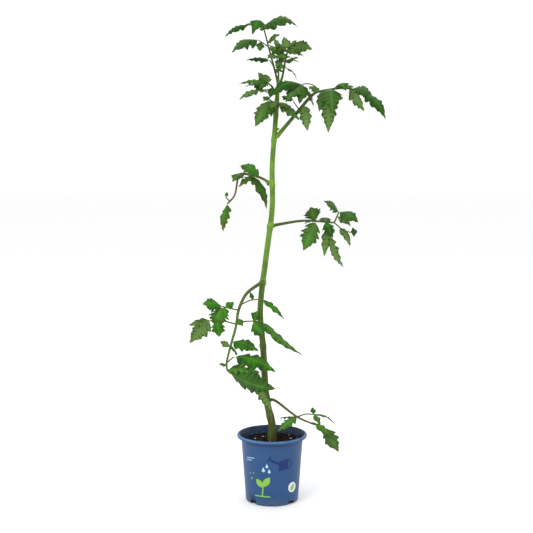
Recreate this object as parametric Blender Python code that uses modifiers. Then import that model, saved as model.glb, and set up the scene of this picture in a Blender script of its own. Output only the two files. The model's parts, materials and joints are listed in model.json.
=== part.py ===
"""A young tomato plant in a round plastic pot.

The pot stands on the ground at the origin, +Z up and -Y towards the viewer. The plant has one
main stem in the middle of the filled pot and ten compound leaves and a shoot tip, each a stalk with
lobed, toothed leaflets. Lengths in the tables are millimetres, and MM turns them into metres.
"""

import math

import bmesh
import bpy
from mathutils import Vector
from mathutils.noise import noise

MM = 0.001
GAP = 0.3                      # clearance between neighbouring pieces
FACET_ALLOWANCE = 0.1          # added to the gap where two faceted round faces meet

# Pot: a thin moulded cup with a rolled lip
RIM_RADIUS = 60.0
POT_HEIGHT = 115.0
BASE_RADIUS = 45.0
WALL_TOP_RADIUS = 53.0         # outside of the wall, just under the lip
WALL = 1.4
FLOOR = 1.8
LIP_HEIGHT = 5.5
LIP_OVERHANG = 5.0             # how far the lip stands out past the pot's mouth
ROUND_STEPS = 40

# Drainage notches cut through the corner of the foot
NOTCH_COUNT = 8
NOTCH_SIZES = [(5.0, 3.0), (13.0, 6.0)]      # width and height, in turn round the foot
NOTCH_DEPTH = 4.0

# Soil: fills the pot to a little below its lip
SOIL_LEVEL = 102.0
SOIL_BUMP = 1.6
SOIL_LUMPS_PER_MM = 0.11
SOIL_EDGE_DROP = 0.8           # fall of the soil at its rim
SOIL_RINGS = (0.0, 0.32, 0.5, 0.66, 0.82, 0.94)
HOLE_DRILL_LENGTH = 60.0
HOLE_SIDES = 24
SOIL_EDGE_CLEARANCE = 0.2      # more room, for the facets of the pot's wall
FLOOR_CORNER = 1.2             # chamfer between the floor and the wall, inside
STEM_FOOT_LEVEL = 70.0         # lower end of the stem, inside the soil

# Stem: a few points of its centre line, and its radius at some heights
STEM_ROUTE = [
    (0, 0, STEM_FOOT_LEVEL), (0, 0, 105), (0, 0, 130), (-10, 0, 180), (-15, 5, 260),
    (-20, 5, 330), (-10, 0, 420), (0, 0, 500), (0, 0, 570), (5, 0, 640), (10, 0, 710),
]
STEM_RADII = [(STEM_FOOT_LEVEL, 7.5), (110, 7.5), (150, 6.0), (300, 5.0), (500, 4.5), (680, 4.0),
              (710, 2.5)]
STEM_POINTS = 44

# Joints of the stem, where a leaf leaves it: height and swelling
STEM_JOINTS = [(145, 0.7), (175, 0.6), (265, 0.8), (375, 1.3), (470, 1.3), (540, 0.9), (615, 0.9),
               (655, 0.5)]
JOINT_HALF_HEIGHT = 5.0

# Leaf scars and a side bud on the stem: height, direction round the stem in degrees, length
STEM_STUBS = [(145, 180, 8.5), (265, 200, 7.5), (630, -20, 9.0)]
STUB_RADIUS = 1.8
STUB_RISE = 0.45               # climb of a stub for one unit outwards

BLADE_THICKNESS = 0.7
LEAF_BASE_WIDTH = 1.0          # width of a leaflet where it leaves its stalk
LOBE_SHIFT = 0.06              # how far the two edges are out of step, as a share of a lobe
LOBE_LEAN = 0.04               # how far a lobe's tip leans forward, as a share of the length
LOBE_TIP_PLACE = 0.55          # where a lobe is widest, as a share of the lobe
TIP_LOBE = 0.8                 # the end of a leaflet past its last notch, as a share of a lobe
NOTCH_SHARE = 0.72             # width left at a notch
LOBE_DROP = 0.25               # fall of a lobe's tip for one unit away from the rib
NOTCH_DROP = 0.1
BLADE_BACKSET = 0.62           # below 1, a leaflet is widest nearer its base
BLADE_FILL = 0.8               # below 1, a leaflet is fuller than a sine wave

# Directions that the upper face of a leaflet can look
UP = (0, 0, 1)
FRONT = (0, -1, 0.2)
FRONT_UP = (0, -0.8, 1)
FRONT_DOWN = (0, -1, -0.6)
BACK = (0, 1, 0.2)
BACK_UP = (0, 0.8, 1)
BACK_RIGHT = (0.8, 1, 0.2)
BACK_LEFT = (-1, 0.8, -0.2)
RIGHT = (0.6, -1, 0.3)
LEFT = (-1, -1, 0.2)

TUBE_STEP = 11.0               # length of one straight piece of a stalk's tube
THIN_STALK = 1.2               # stalks up to this radius have fewer sides

# Headings turn round the plant in degrees: 0 right, 90 away from the viewer, 180 left,
# -90 towards the viewer. A climb is in degrees above the level.
# A stalk: what it grows from, where on it, its legs, its radius at both ends.
# Where: a height on the stem, or the share of another stalk's legs that lies before it.
# A leg: heading, climb, length.
# A leaflet: stalk, where, heading, climb, length, width, arch, upper face, lobes. The arch is how
# far its rib rises off a straight line, as a share of its length.
LEAVES = {
    "leaf_low_right": (
        {
            "rib": ("stem", 170, [(-20, 10, 15), (-25, -30, 50), (-25, -15, 50)], (2.6, 1.1)),
            "upper": ("rib", 0.65, [(-5, 20, 15), (15, -5, 15)], (1.1, 0.9)),
            "lower": ("rib", 0.8, [(-45, 5, 15)], (0.9, 0.8)),
        },
        [
            ("rib", 0.65, 155, -10, 35, 14, 0.05, UP, 2),
            ("rib", 0.65, 215, -25, 45, 18, 0.1, FRONT_UP, 3),
            ("rib", 1, -30, -55, 45, 26, 0.1, FRONT, 3),
            ("upper", 1, -60, -35, 25, 12, 0.1, FRONT_UP, 1),
            ("upper", 1, 30, -30, 50, 16, 0.15, UP, 2),
            ("upper", 1, 105, 40, 15, 10, 0.1, FRONT_UP, 1),
            ("lower", 1, -30, -35, 40, 15, 0.1, FRONT_UP, 2),
        ],
    ),
    "leaf_low_left": (
        {
            "rib": ("stem", 375, [(-110, 0, 10), (195, -35, 30), (210, -60, 30), (230, -75, 30),
                                  (220, -70, 35), (220, -75, 30), (300, -35, 20),
                                  (10, -25, 45)], (2.8, 1.1)),
            "inner": ("rib", 0.34, [(-15, 25, 20), (-5, 5, 20)], (1.1, 0.9)),
            "outer": ("rib", 0.38, [(170, 10, 15), (155, 10, 15)], (1.1, 0.9)),
            "left": ("rib", 0.48, [(190, 15, 25), (195, 5, 20)], (1.2, 0.9)),
            "across": ("rib", 0.48, [(-20, 20, 15), (-10, 5, 15)], (1.3, 1.0)),
            "over": ("across", 1, [(10, -5, 15)], (1.0, 0.9)),
            "low": ("rib", 0.73, [(5, 40, 15)], (1.2, 1.0)),
        },
        [
            ("inner", 1, -20, -40, 50, 13, 0.1, FRONT_UP, 2),
            ("inner", 0.6, 130, 55, 15, 8, 0.1, FRONT_UP, 1),
            ("outer", 0.8, 40, 20, 20, 16, 0.1, FRONT_UP, 1),
            ("outer", 1, 240, -60, 40, 36, 0.2, FRONT_UP, 4),
            ("outer", 1, 200, 10, 35, 34, 0.15, FRONT_UP, 3),
            ("outer", 0.9, -70, -50, 25, 14, 0.1, FRONT, 1),
            ("left", 0.7, -75, -60, 30, 26, 0.15, FRONT_UP, 2),
            ("left", 1, 150, -45, 60, 30, 0.05, BACK, 3),
            ("left", 1, 165, -15, 40, 16, 0.05, BACK, 2),
            ("rib", 0.44, -50, -35, 20, 12, 0.1, FRONT, 1),
            ("across", 1, 20, 60, 20, 18, 0.05, FRONT, 1),
            ("across", 1, -30, -50, 35, 26, 0.15, FRONT, 2),
            ("over", 1, 5, -40, 90, 19, -0.05, FRONT_UP, 3),
            ("rib", 0.59, -20, -15, 50, 28, 0.15, FRONT_UP, 3),
            ("rib", 0.62, 190, 30, 20, 18, 0.1, BACK_UP, 1),
            ("rib", 0.61, -60, -35, 25, 24, 0.1, BACK_UP, 2),
            ("low", 1, 0, -20, 75, 34, 0.15, FRONT_UP, 3),
            ("rib", 0.78, -15, -20, 90, 52, 0.15, FRONT_DOWN, 4),
            ("rib", 0.82, -20, 0, 60, 17, 0.1, FRONT_UP, 2),
            ("rib", 0.75, 210, 10, 15, 10, 0.1, FRONT_UP, 1),
            ("rib", 1, 15, -60, 55, 22, 0.05, BACK_RIGHT, 3),
        ],
    ),
    "leaf_mid_right": (
        {
            "rib": ("stem", 470, [(30, 10, 20), (30, 5, 50), (30, -5, 60)], (2.6, 1.3)),
            "rising": ("rib", 1, [(20, 65, 20)], (1.3, 1.0)),
            "drop": ("rib", 0.9, [(-50, -70, 25)], (1.2, 0.9)),
            "end": ("rib", 1, [(-30, -35, 20), (15, -20, 15)], (1.0, 0.8)),
        },
        [
            ("rib", 0.79, 235, 55, 30, 32, 0.05, FRONT, 3),
            ("rib", 0.79, 230, -55, 60, 34, 0.05, FRONT, 4),
            ("rib", 0.76, 125, -15, 25, 12, 0.1, UP, 1),
            ("drop", 0.5, 250, -70, 50, 17, 0.05, BACK, 2),
            ("drop", 1, -5, -65, 60, 24, 0.1, BACK_LEFT, 3),
            ("rib", 0.9, -60, -50, 35, 22, 0.1, FRONT, 2),
            ("rib", 0.9, 90, 5, 35, 22, 0.15, UP, 3),
            ("rising", 1, 200, 35, 35, 24, 0.15, FRONT_UP, 3),
            ("rising", 1, -25, -25, 40, 30, 0.2, FRONT_UP, 2),
            ("rising", 0.6, 5, -35, 30, 16, 0.15, BACK_UP, 1),
            ("end", 0.3, -20, -50, 30, 18, 0.1, BACK_UP, 2),
            ("end", 0.6, -40, -65, 30, 12, 0.1, BACK_UP, 1),
            ("end", 1, 30, 5, 15, 15, 0.05, FRONT, 1),
        ],
    ),
    "leaf_mid_left": (
        {
            "rib": ("stem", 540, [(130, 20, 35), (150, 10, 35), (195, -40, 10), (225, -75, 30),
                                  (200, -50, 20)], (2.1, 1.3)),
            "stub": ("rib", 0.95, [(190, 50, 10)], (1.0, 0.8)),
        },
        [
            ("rib", 0.2, 150, 25, 45, 28, 0.25, FRONT_UP, 3),
            ("rib", 0.3, 5, -65, 65, 20, 0.2, RIGHT, 3),
            ("rib", 0.4, 245, -20, 40, 24, 0.15, FRONT_UP, 3),
            ("rib", 0.28, 215, -35, 35, 16, 0.1, FRONT_UP, 2),
            ("rib", 0.45, 250, -25, 25, 13, 0.1, FRONT_UP, 1),
            ("rib", 0.15, 40, -30, 30, 18, 0.1, FRONT_UP, 2),
            ("rib", 1, 245, -70, 50, 24, 0.1, LEFT, 3),
            ("stub", 1, 60, 60, 10, 7, 0.1, FRONT, 1),
        ],
    ),
    "leaf_high_right": (
        {
            "rib": ("stem", 615, [(-30, 45, 55), (-30, 45, 45), (-30, 20, 20), (-20, 5, 40),
                                  (0, -15, 30)], (2.9, 1.0)),
            "back": ("rib", 0.4, [(150, 45, 25)], (1.0, 0.8)),
            "spur": ("rib", 0.25, [(140, 50, 20)], (0.9, 0.7)),
            "curl": ("rib", 0.55, [(140, 45, 15), (170, 10, 15), (200, -35, 10)], (0.8, 0.7)),
        },
        [
            ("rib", 0.66, -85, -45, 60, 42, 0.35, FRONT_UP, 4),
            ("rib", 0.67, 95, -80, 70, 28, 0.05, BACK, 4),
            ("rib", 0.61, 250, -60, 40, 17, 0.1, FRONT, 2),
            ("rib", 0.56, 135, 20, 25, 17, 0.15, FRONT_UP, 2),
            ("rib", 0.73, -70, -10, 35, 26, 0.3, FRONT_UP, 3),
            ("rib", 0.82, -40, -50, 50, 26, 0.1, BACK_UP, 3),
            ("rib", 0.86, 10, -15, 35, 30, 0.2, FRONT_UP, 3),
            ("rib", 0.8, 75, 10, 30, 20, 0.1, FRONT_UP, 2),
            ("rib", 1, -15, -50, 55, 26, 0.2, FRONT_UP, 3),
            ("rib", 0.3, -60, -75, 45, 21, 0.05, BACK, 3),
            ("back", 1, 205, -20, 60, 28, 0.25, FRONT_UP, 4),
            ("back", 1, 230, -35, 50, 28, 0.15, FRONT_UP, 3),
            ("back", 0.9, 255, -50, 40, 22, 0.15, FRONT_UP, 2),
            ("back", 1, -45, -55, 45, 13, 0.1, BACK_UP, 2),
            ("spur", 1, 145, 20, 25, 16, 0.1, FRONT_UP, 2),
        ],
    ),
    "leaf_high_left": (
        {
            "rib": ("stem", 655, [(240, 65, 20), (220, 45, 10)], (1.8, 1.1)),
        },
        [
            ("rib", 1, 220, -55, 55, 30, 0.1, FRONT_UP, 4),
            ("rib", 1, 150, 20, 15, 15, 0.1, FRONT_UP, 1),
            ("rib", 0.6, 250, -70, 25, 12, 0.05, FRONT, 1),
        ],
    ),
    "leaf_high_front": (
        {
            "rib": ("stem", 670, [(-80, 25, 15), (-80, -10, 10)], (1.6, 1.0)),
        },
        [
            ("rib", 1, -15, -40, 45, 24, 0.1, FRONT_UP, 2),
            ("rib", 0.85, -60, -20, 30, 18, 0.1, FRONT_UP, 2),
            ("rib", 0.7, 240, -20, 30, 19, 0.1, FRONT, 2),
        ],
    ),
    "leaf_top_left": (
        {
            "rib": ("stem", 685, [(225, 55, 20), (205, 35, 15)], (1.6, 1.0)),
            "low": ("rib", 0.4, [(220, -10, 15), (190, 5, 10)], (1.0, 0.8)),
        },
        [
            ("rib", 1, 165, 50, 20, 13, 0.05, FRONT, 1),
            ("rib", 1, 170, -5, 45, 13, 0.1, FRONT_UP, 2),
            ("rib", 0.85, 200, -10, 40, 12, 0.1, FRONT_UP, 2),
            ("rib", 0.8, 250, 45, 20, 15, 0.1, BACK_UP, 2),
            ("rib", 0.5, 255, -50, 25, 14, 0.1, FRONT, 2),
            ("rib", 0.9, 235, -30, 25, 16, 0.15, FRONT_UP, 2),
            ("rib", 0.95, 110, 50, 15, 10, 0.1, BACK_UP, 1),
            ("low", 0.8, 150, 30, 20, 18, 0.15, FRONT_UP, 2),
            ("low", 0.6, 245, -15, 20, 14, 0.1, FRONT_UP, 1),
            ("low", 1, 195, -25, 40, 15, 0.1, FRONT_UP, 2),
        ],
    ),
    "leaf_crown": (
        {
            "rib": ("stem", 695, [(100, 75, 20), (165, 75, 45), (190, 75, 45)], (1.9, 1.0)),
            "hang": ("rib", 0.75, [(200, 30, 20)], (0.9, 0.7)),
            "left": ("rib", 1, [(170, 15, 15), (180, -5, 10)], (0.9, 0.7)),
            "low": ("rib", 0.5, [(145, 55, 15)], (0.8, 0.7)),
        },
        [
            ("rib", 1, 15, 0, 60, 34, 0.3, FRONT_UP, 3),
            ("rib", 1, 240, -25, 40, 32, 0.45, FRONT_UP, 3),
            ("rib", 0.95, 80, 15, 40, 24, 0.2, BACK_UP, 3),
            ("left", 1, 170, -25, 45, 18, 0.15, FRONT_UP, 3),
            ("left", 0.7, 115, 5, 25, 14, 0.1, FRONT_UP, 1),
            ("hang", 1, 190, -25, 50, 34, 0.2, FRONT_UP, 3),
            ("hang", 0.8, -100, -60, 20, 14, 0.1, FRONT, 1),
            ("rib", 0.8, 35, 30, 30, 16, 0.15, BACK_UP, 2),
            ("rib", 0.6, 90, 25, 25, 14, 0.15, BACK_UP, 1),
            ("low", 1, 180, 0, 40, 17, 0.1, FRONT_UP, 2),
        ],
    ),
    "leaf_young_right": (
        {
            "rib": ("stem", 700, [(-30, 65, 20), (-45, 75, 25), (-30, 75, 25)], (1.8, 1.1)),
            "twin": ("rib", 0.75, [(215, 60, 15)], (0.8, 0.7)),
            "inner": ("rib", 0.5, [(190, 70, 25)], (0.9, 0.7)),
        },
        [
            ("rib", 1, 10, -5, 40, 32, 0.2, BACK_UP, 3),
            ("rib", 0.95, 125, 60, 25, 16, 0.05, BACK, 1),
            ("rib", 0.9, 20, 50, 25, 15, 0.1, FRONT_UP, 1),
            ("rib", 0.9, 35, -10, 35, 14, 0.1, FRONT_UP, 2),
            ("rib", 0.7, 25, -5, 25, 12, 0.15, UP, 1),
            ("rib", 0.55, 10, -45, 30, 11, 0.2, UP, 1),
            ("rib", 0.85, 240, 25, 30, 22, 0.15, FRONT_UP, 2),
            ("rib", 0.85, -50, 15, 30, 18, 0.1, BACK_UP, 2),
            ("rib", 0.6, 240, -25, 20, 15, 0.1, FRONT_UP, 2),
            ("rib", 0.65, -10, 20, 25, 14, 0.1, FRONT_UP, 1),
            ("rib", 0.45, 225, 20, 20, 14, 0.1, FRONT_UP, 1),
            ("inner", 1, 150, 45, 25, 15, 0.1, FRONT_UP, 2),
            ("inner", 1, 60, 60, 20, 13, 0.1, FRONT_UP, 1),
            ("inner", 1, -60, -20, 25, 20, 0.2, FRONT_UP, 2),
            ("inner", 0.9, 215, -10, 25, 16, 0.15, FRONT_UP, 2),
            ("inner", 0.7, -30, 10, 20, 14, 0.1, FRONT_UP, 1),
            ("inner", 0.6, 240, -35, 20, 13, 0.1, FRONT, 1),
            ("inner", 0.3, 200, 20, 15, 12, 0.1, FRONT_UP, 1),
            ("twin", 1, 200, 45, 25, 16, 0.1, FRONT_UP, 2),
            ("twin", 1, 185, 5, 25, 12, 0.15, FRONT_UP, 1),
            ("twin", 0.9, 265, 15, 20, 16, 0.15, FRONT_UP, 2),
        ],
    ),
    "shoot_tip": (
        {
            "rib": ("stem", 705, [(60, 85, 45)], (1.2, 0.9)),
        },
        [
            ("rib", 1, 80, 80, 20, 13, 0.05, FRONT, 1),
            ("rib", 0.95, 50, 60, 20, 12, 0.05, BACK_UP, 1),
            ("rib", 0.8, 25, 45, 15, 11, 0.1, FRONT_UP, 1),
            ("rib", 0.6, 65, 45, 15, 10, 0.1, BACK_UP, 1),
            ("rib", 0.75, 100, 40, 15, 11, 0.1, BACK_UP, 1),
            ("rib", 0.45, 235, 40, 10, 10, 0.1, BACK_UP, 1),
        ],
    ),
}


# ---------------------------------------------------------------- scene and materials

def clear_scene():
    """Start from an empty scene."""
    for item in list(bpy.data.objects):
        bpy.data.objects.remove(item, do_unlink=True)


def new_collection(name):
    """A collection linked to the scene."""
    collection = bpy.data.collections.new(name)
    bpy.context.scene.collection.children.link(collection)
    return collection


def move_to(item, collection):
    """Take an object out of its collections and put it in another."""
    for old in list(item.users_collection):
        old.objects.unlink(item)
    collection.objects.link(item)


def new_material(name, colour, roughness):
    """A plain non-metallic Principled material."""
    material = bpy.data.materials.new(name)
    material.use_nodes = True
    shader = material.node_tree.nodes["Principled BSDF"]
    shader.inputs["Base Color"].default_value = (*colour, 1.0)
    shader.inputs["Roughness"].default_value = roughness
    shader.inputs["Metallic"].default_value = 0.0
    return material


def evaluated_mesh(source):
    """The mesh of an object with its modifiers applied."""
    graph = bpy.context.evaluated_depsgraph_get()
    graph.update()
    return bpy.data.meshes.new_from_object(source.evaluated_get(graph))


def finish(target, material):
    """Give an object its material and smooth shading with sharp creases."""
    target.data.materials.clear()
    target.data.materials.append(material)
    target.data.shade_smooth()
    target.data.set_sharp_from_angle(angle=math.radians(40))


# ---------------------------------------------------------------- lines in space

def smooth_path(points, count):
    """Points spread along a Catmull-Rom curve through the given points."""
    line = [Vector(point) for point in points]
    line = [2 * line[0] - line[1]] + line + [2 * line[-1] - line[-2]]
    return [curve_point(line, i * (len(points) - 1) / (count - 1)) for i in range(count)]


def curve_point(line, where):
    """One point of a Catmull-Rom curve whose end points are doubled in line."""
    span = min(int(where), len(line) - 4)
    t = where - span
    a, b, c, d = line[span:span + 4]
    bend = 2 * a - 5 * b + 4 * c - d
    twist = 3 * b - a - 3 * c + d
    return 0.5 * (2 * b + (c - a) * t + bend * t * t + twist * t ** 3)


def point_on(points, share):
    """The point at a share of a route's legs, on the same curve that its tube follows."""
    line = [Vector(point) for point in points]
    line = [2 * line[0] - line[1]] + line + [2 * line[-1] - line[-2]]
    return curve_point(line, share * (len(points) - 1))


def leg(heading, climb, length):
    """The vector of one straight stretch with a heading and a climb."""
    level = length * math.cos(math.radians(climb))
    turn = math.radians(heading)
    return Vector((level * math.cos(turn), level * math.sin(turn), length * math.sin(math.radians(climb))))


def legs_route(start, legs):
    """The points that a run of legs passes through."""
    points = [start]
    for heading, climb, length in legs:
        points.append(points[-1] + leg(heading, climb, length))
    return points


def stem_centre(height):
    """Centre of the stem at a height, on the same line that its tube follows."""
    line = smooth_path(STEM_ROUTE, STEM_POINTS)
    for low, high in zip(line, line[1:]):
        if low.z <= height <= high.z:
            return low.lerp(high, (height - low.z) / (high.z - low.z))
    return line[-1]


def stem_radius(height):
    """Radius of the stem at a height, with its swollen joints."""
    radius = STEM_RADII[-1][1]
    for low, high in zip(STEM_RADII, STEM_RADII[1:]):
        if low[0] <= height <= high[0]:
            share = (height - low[0]) / (high[0] - low[0])
            radius = low[1] + share * (high[1] - low[1])
            break
    for joint, swelling in STEM_JOINTS:
        radius += swelling * math.exp(-((height - joint) / JOINT_HALF_HEIGHT) ** 2)
    return radius


def tube(name, points, radii, collection, sides_level):
    """A closed mesh tube through points, with a radius at each of them."""
    curve = bpy.data.curves.new(name, "CURVE")
    curve.dimensions = "3D"
    curve.bevel_depth = MM
    curve.bevel_resolution = sides_level
    curve.use_fill_caps = True
    spline = curve.splines.new("POLY")
    spline.points.add(len(points) - 1)
    for spot, point, radius in zip(spline.points, points, radii):
        spot.co = (*(point * MM), 1.0)
        spot.radius = radius
    route = bpy.data.objects.new(name + "_route", curve)
    collection.objects.link(route)
    mesh = evaluated_mesh(route)
    bpy.data.objects.remove(route, do_unlink=True)
    bm = bmesh.new()
    bm.from_mesh(mesh)
    bmesh.ops.remove_doubles(bm, verts=bm.verts, dist=0.00001)
    bmesh.ops.triangulate(bm, faces=bm.faces)
    bm.to_mesh(mesh)
    bm.free()
    solid = bpy.data.objects.new(name, mesh)
    collection.objects.link(solid)
    return solid


# ---------------------------------------------------------------- joining and cutting

def largest_body(mesh):
    """Drop every loose scrap but the biggest body of a mesh."""
    bm = bmesh.new()
    bm.from_mesh(mesh)
    bmesh.ops.triangulate(bm, faces=bm.faces)
    unseen = set(bm.verts)
    bodies = []
    while unseen:
        front = [unseen.pop()]
        body = list(front)
        while front:
            vertex = front.pop()
            for edge in vertex.link_edges:
                other = edge.other_vert(vertex)
                if other in unseen:
                    unseen.remove(other)
                    front.append(other)
                    body.append(other)
        bodies.append(body)
    bodies.sort(key=len)
    for scrap in bodies[:-1]:
        bmesh.ops.delete(bm, geom=scrap, context="VERTS")
    bm.to_mesh(mesh)
    bm.free()
    return mesh


def combine(target, others, operation, solver="EXACT"):
    """Apply one Boolean with every object of a collection."""
    boolean = target.modifiers.new(operation.lower(), "BOOLEAN")
    boolean.operation = operation
    boolean.operand_type = "COLLECTION"
    boolean.collection = others
    boolean.solver = solver
    mesh = evaluated_mesh(target)
    target.modifiers.clear()
    target.data = largest_body(mesh)


def empty_collection(collection):
    """Remove the objects of a collection, and the collection."""
    for item in list(collection.objects):
        bpy.data.objects.remove(item, do_unlink=True)
    bpy.data.collections.remove(collection)


# ---------------------------------------------------------------- pot and soil

def wall_outside(height):
    """Outer radius of the pot's wall at a height under the lip."""
    share = height / (POT_HEIGHT - LIP_HEIGHT)
    return BASE_RADIUS + share * (WALL_TOP_RADIUS - BASE_RADIUS)


def turned(name, profile, collection):
    """A solid turned from a profile that starts and ends on the axis."""
    mesh = bpy.data.meshes.new(name)
    edges = [(i, i + 1) for i in range(len(profile) - 1)]
    mesh.from_pydata([(x * MM, 0, z * MM) for x, z in profile], edges, [])
    solid = bpy.data.objects.new(name, mesh)
    collection.objects.link(solid)
    screw = solid.modifiers.new("turn", "SCREW")
    screw.steps = ROUND_STEPS
    screw.render_steps = ROUND_STEPS
    screw.use_merge_vertices = True
    screw.merge_threshold = 0.00001
    solid.data = evaluated_mesh(solid)
    solid.modifiers.clear()
    return solid


def lip_profile():
    """Rolled lip, from the inner wall over the top and down to the outer wall."""
    top = POT_HEIGHT
    inside = RIM_RADIUS - LIP_OVERHANG
    return [
        (WALL_TOP_RADIUS - WALL, top - 8.0), (inside - 0.6, top - 3.0), (inside, top - 1.0),
        (inside + 1.6, top), (RIM_RADIUS - 1.6, top - 0.4), (RIM_RADIUS, top - 2.2),
        (RIM_RADIUS, top - 4.2), (RIM_RADIUS - 1.4, top - LIP_HEIGHT),
        (inside + 0.6, top - LIP_HEIGHT), (WALL_TOP_RADIUS + 0.6, top - LIP_HEIGHT - 1.6),
        (WALL_TOP_RADIUS - 0.2, top - LIP_HEIGHT - 3.4),
    ]


def make_pot(collection, cutters, plastic):
    """Tapered cup with a rolled lip, a flat base and notches round its foot."""
    foot = [(BASE_RADIUS, 2.5), (BASE_RADIUS - 0.6, 0.6), (BASE_RADIUS - 1.6, 0.0), (0.0, 0.0)]
    inner = BASE_RADIUS - WALL
    profile = [(0.0, FLOOR), (inner - FLOOR_CORNER, FLOOR), (inner, FLOOR + FLOOR_CORNER)]
    pot = turned("pot", profile + lip_profile() + foot, collection)
    for index in range(NOTCH_COUNT):
        angle = math.tau * index / NOTCH_COUNT
        width, height = NOTCH_SIZES[index % 2]
        bpy.ops.mesh.primitive_cube_add(size=MM)
        notch = bpy.context.object
        notch.name = "drain_notch_%d" % index
        notch.scale = (NOTCH_DEPTH * 2, width, height * 2)
        notch.location = (BASE_RADIUS * MM * math.cos(angle), BASE_RADIUS * MM * math.sin(angle), 0)
        notch.rotation_euler = (0, 0, angle)
        notch.hide_render = True
        notch.display_type = "WIRE"
        move_to(notch, cutters)
    combine(pot, cutters, "DIFFERENCE")
    finish(pot, plastic)
    return pot


def make_soil(collection, earth):
    """Compost that fills the pot, with a rough top and a plain hole for the stem."""
    top_radius = wall_outside(SOIL_LEVEL) - WALL - GAP - SOIL_EDGE_CLEARANCE
    low_radius = BASE_RADIUS - WALL - GAP - FLOOR_CORNER
    rings = [(top_radius * share, SOIL_LEVEL) for share in SOIL_RINGS]
    bottom = FLOOR + GAP + FACET_ALLOWANCE
    edge = [(top_radius, SOIL_LEVEL - SOIL_EDGE_DROP), (low_radius, bottom), (0.0, bottom)]
    soil = turned("soil", rings + edge, collection)
    for vertex in soil.data.vertices:
        place = vertex.co / MM
        if place.z > SOIL_LEVEL - SOIL_EDGE_DROP / 2:
            bump = noise(Vector((place.x, place.y, 0)) * SOIL_LUMPS_PER_MM)
            vertex.co.z += SOIL_BUMP * bump * MM
    hole = new_collection("stem_hole")
    hole_radius = STEM_RADII[0][1] + GAP + FACET_ALLOWANCE
    bpy.ops.mesh.primitive_cylinder_add(vertices=HOLE_SIDES, radius=hole_radius * MM,
                                        depth=HOLE_DRILL_LENGTH * MM)
    drill = bpy.context.object
    foot = Vector(STEM_ROUTE[0])
    drill.location = (foot.x * MM, foot.y * MM, (foot.z - GAP + HOLE_DRILL_LENGTH / 2) * MM)
    move_to(drill, hole)
    combine(soil, hole, "DIFFERENCE")
    empty_collection(hole)
    finish(soil, earth)
    return soil


# ---------------------------------------------------------------- stem

def stem_tube(name, margin, collection):
    """The stem's tube, with a margin all round it and over its tip."""
    points = smooth_path(STEM_ROUTE, STEM_POINTS)
    radii = [stem_radius(point.z) + margin for point in points]
    points[-1].z += margin
    return tube(name, points, radii, collection, 2)


def make_stem(collection, bark):
    """Main stem with swollen joints, leaf scars and a side bud."""
    stem = stem_tube("stem", 0.0, collection)
    stubs = new_collection("stem_stubs")
    for index, (height, turn, length) in enumerate(STEM_STUBS):
        centre = stem_centre(height)
        angle = math.radians(turn)
        out = Vector((math.cos(angle), math.sin(angle), STUB_RISE)).normalized()
        points = [centre, centre + out * length * 0.8, centre + out * length]
        radii = [STUB_RADIUS, STUB_RADIUS, STUB_RADIUS * 0.5]
        tube("stub_%d" % index, points, radii, stubs, 1)
    combine(stem, stubs, "UNION")
    empty_collection(stubs)
    finish(stem, bark)
    return stem


# ---------------------------------------------------------------- leaves

def blade_fullness(share):
    """Half width of a leaflet along its length: round at the base, drawn out to the tip."""
    return math.sin(math.pi * min(max(share, 0.0), 1.0) ** BLADE_BACKSET) ** BLADE_FILL


def leaflet_outline(lobes, width, hand):
    """Points down one edge of a leaflet, as share of its length and distance from its rib.

    They go in turn: a lobe's tip, then the notch after it. The two edges are a little out of step.
    """
    points = []
    step = 1 / (lobes + TIP_LOBE)
    for lobe in range(lobes):
        tip = (lobe + LOBE_TIP_PLACE + LOBE_SHIFT * hand) * step
        notch = (lobe + 1 + LOBE_SHIFT * hand) * step
        points.append((tip + LOBE_LEAN, 0.5 * width * blade_fullness(tip)))
        points.append((notch, 0.5 * width * blade_fullness(notch) * NOTCH_SHARE))
    return points


def make_leaflet(name, base, reach, width, arch, face, lobes, collection):
    """One leaflet: an arched rib with a lobed edge on both sides, given a thin solid blade."""
    along = reach.normalized()
    upper = Vector(face)
    upper = (upper - along * upper.dot(along)).normalized()
    side = along.cross(upper)
    step = 1 / (lobes + TIP_LOBE)
    edges = {hand: leaflet_outline(lobes, width, hand) for hand in (-1, 1)}
    bm = bmesh.new()

    def rib_point(t):
        return base + reach * t + upper * arch * reach.length * 4 * t * (1 - t)

    def vertex(t, out, drop):
        return bm.verts.new((rib_point(t) + side * out - upper * drop) * MM)

    rib = [vertex(0, 0, 0)]
    rib += [vertex((lobe + 1) * step, 0, 0) for lobe in range(lobes)]
    tip = vertex(1, 0, 0)
    for hand in (-1, 1):
        notch = vertex(0, hand * LEAF_BASE_WIDTH / 2, 0)
        for lobe in range(lobes):
            lobe_t, lobe_out = edges[hand][2 * lobe]
            next_t, next_out = edges[hand][2 * lobe + 1]
            lobe_tip = vertex(lobe_t, hand * lobe_out, LOBE_DROP * lobe_out)
            next_notch = vertex(next_t, hand * next_out, NOTCH_DROP * next_out)
            corners = [(rib[lobe], notch, lobe_tip), (rib[lobe], lobe_tip, rib[lobe + 1]),
                       (rib[lobe + 1], lobe_tip, next_notch)]
            for corner in corners:
                bm.faces.new(corner if hand > 0 else corner[::-1])
            notch = next_notch
        last = (rib[-1], notch, tip)
        bm.faces.new(last if hand > 0 else last[::-1])
    bmesh.ops.recalc_face_normals(bm, faces=bm.faces)
    mesh = bpy.data.meshes.new(name)
    bm.to_mesh(mesh)
    bm.free()
    blade = bpy.data.objects.new(name, mesh)
    collection.objects.link(blade)
    wall = blade.modifiers.new("blade", "SOLIDIFY")
    wall.thickness = BLADE_THICKNESS * MM
    wall.offset = 0.0
    blade.data = evaluated_mesh(blade)
    blade.modifiers.clear()
    return blade


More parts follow.
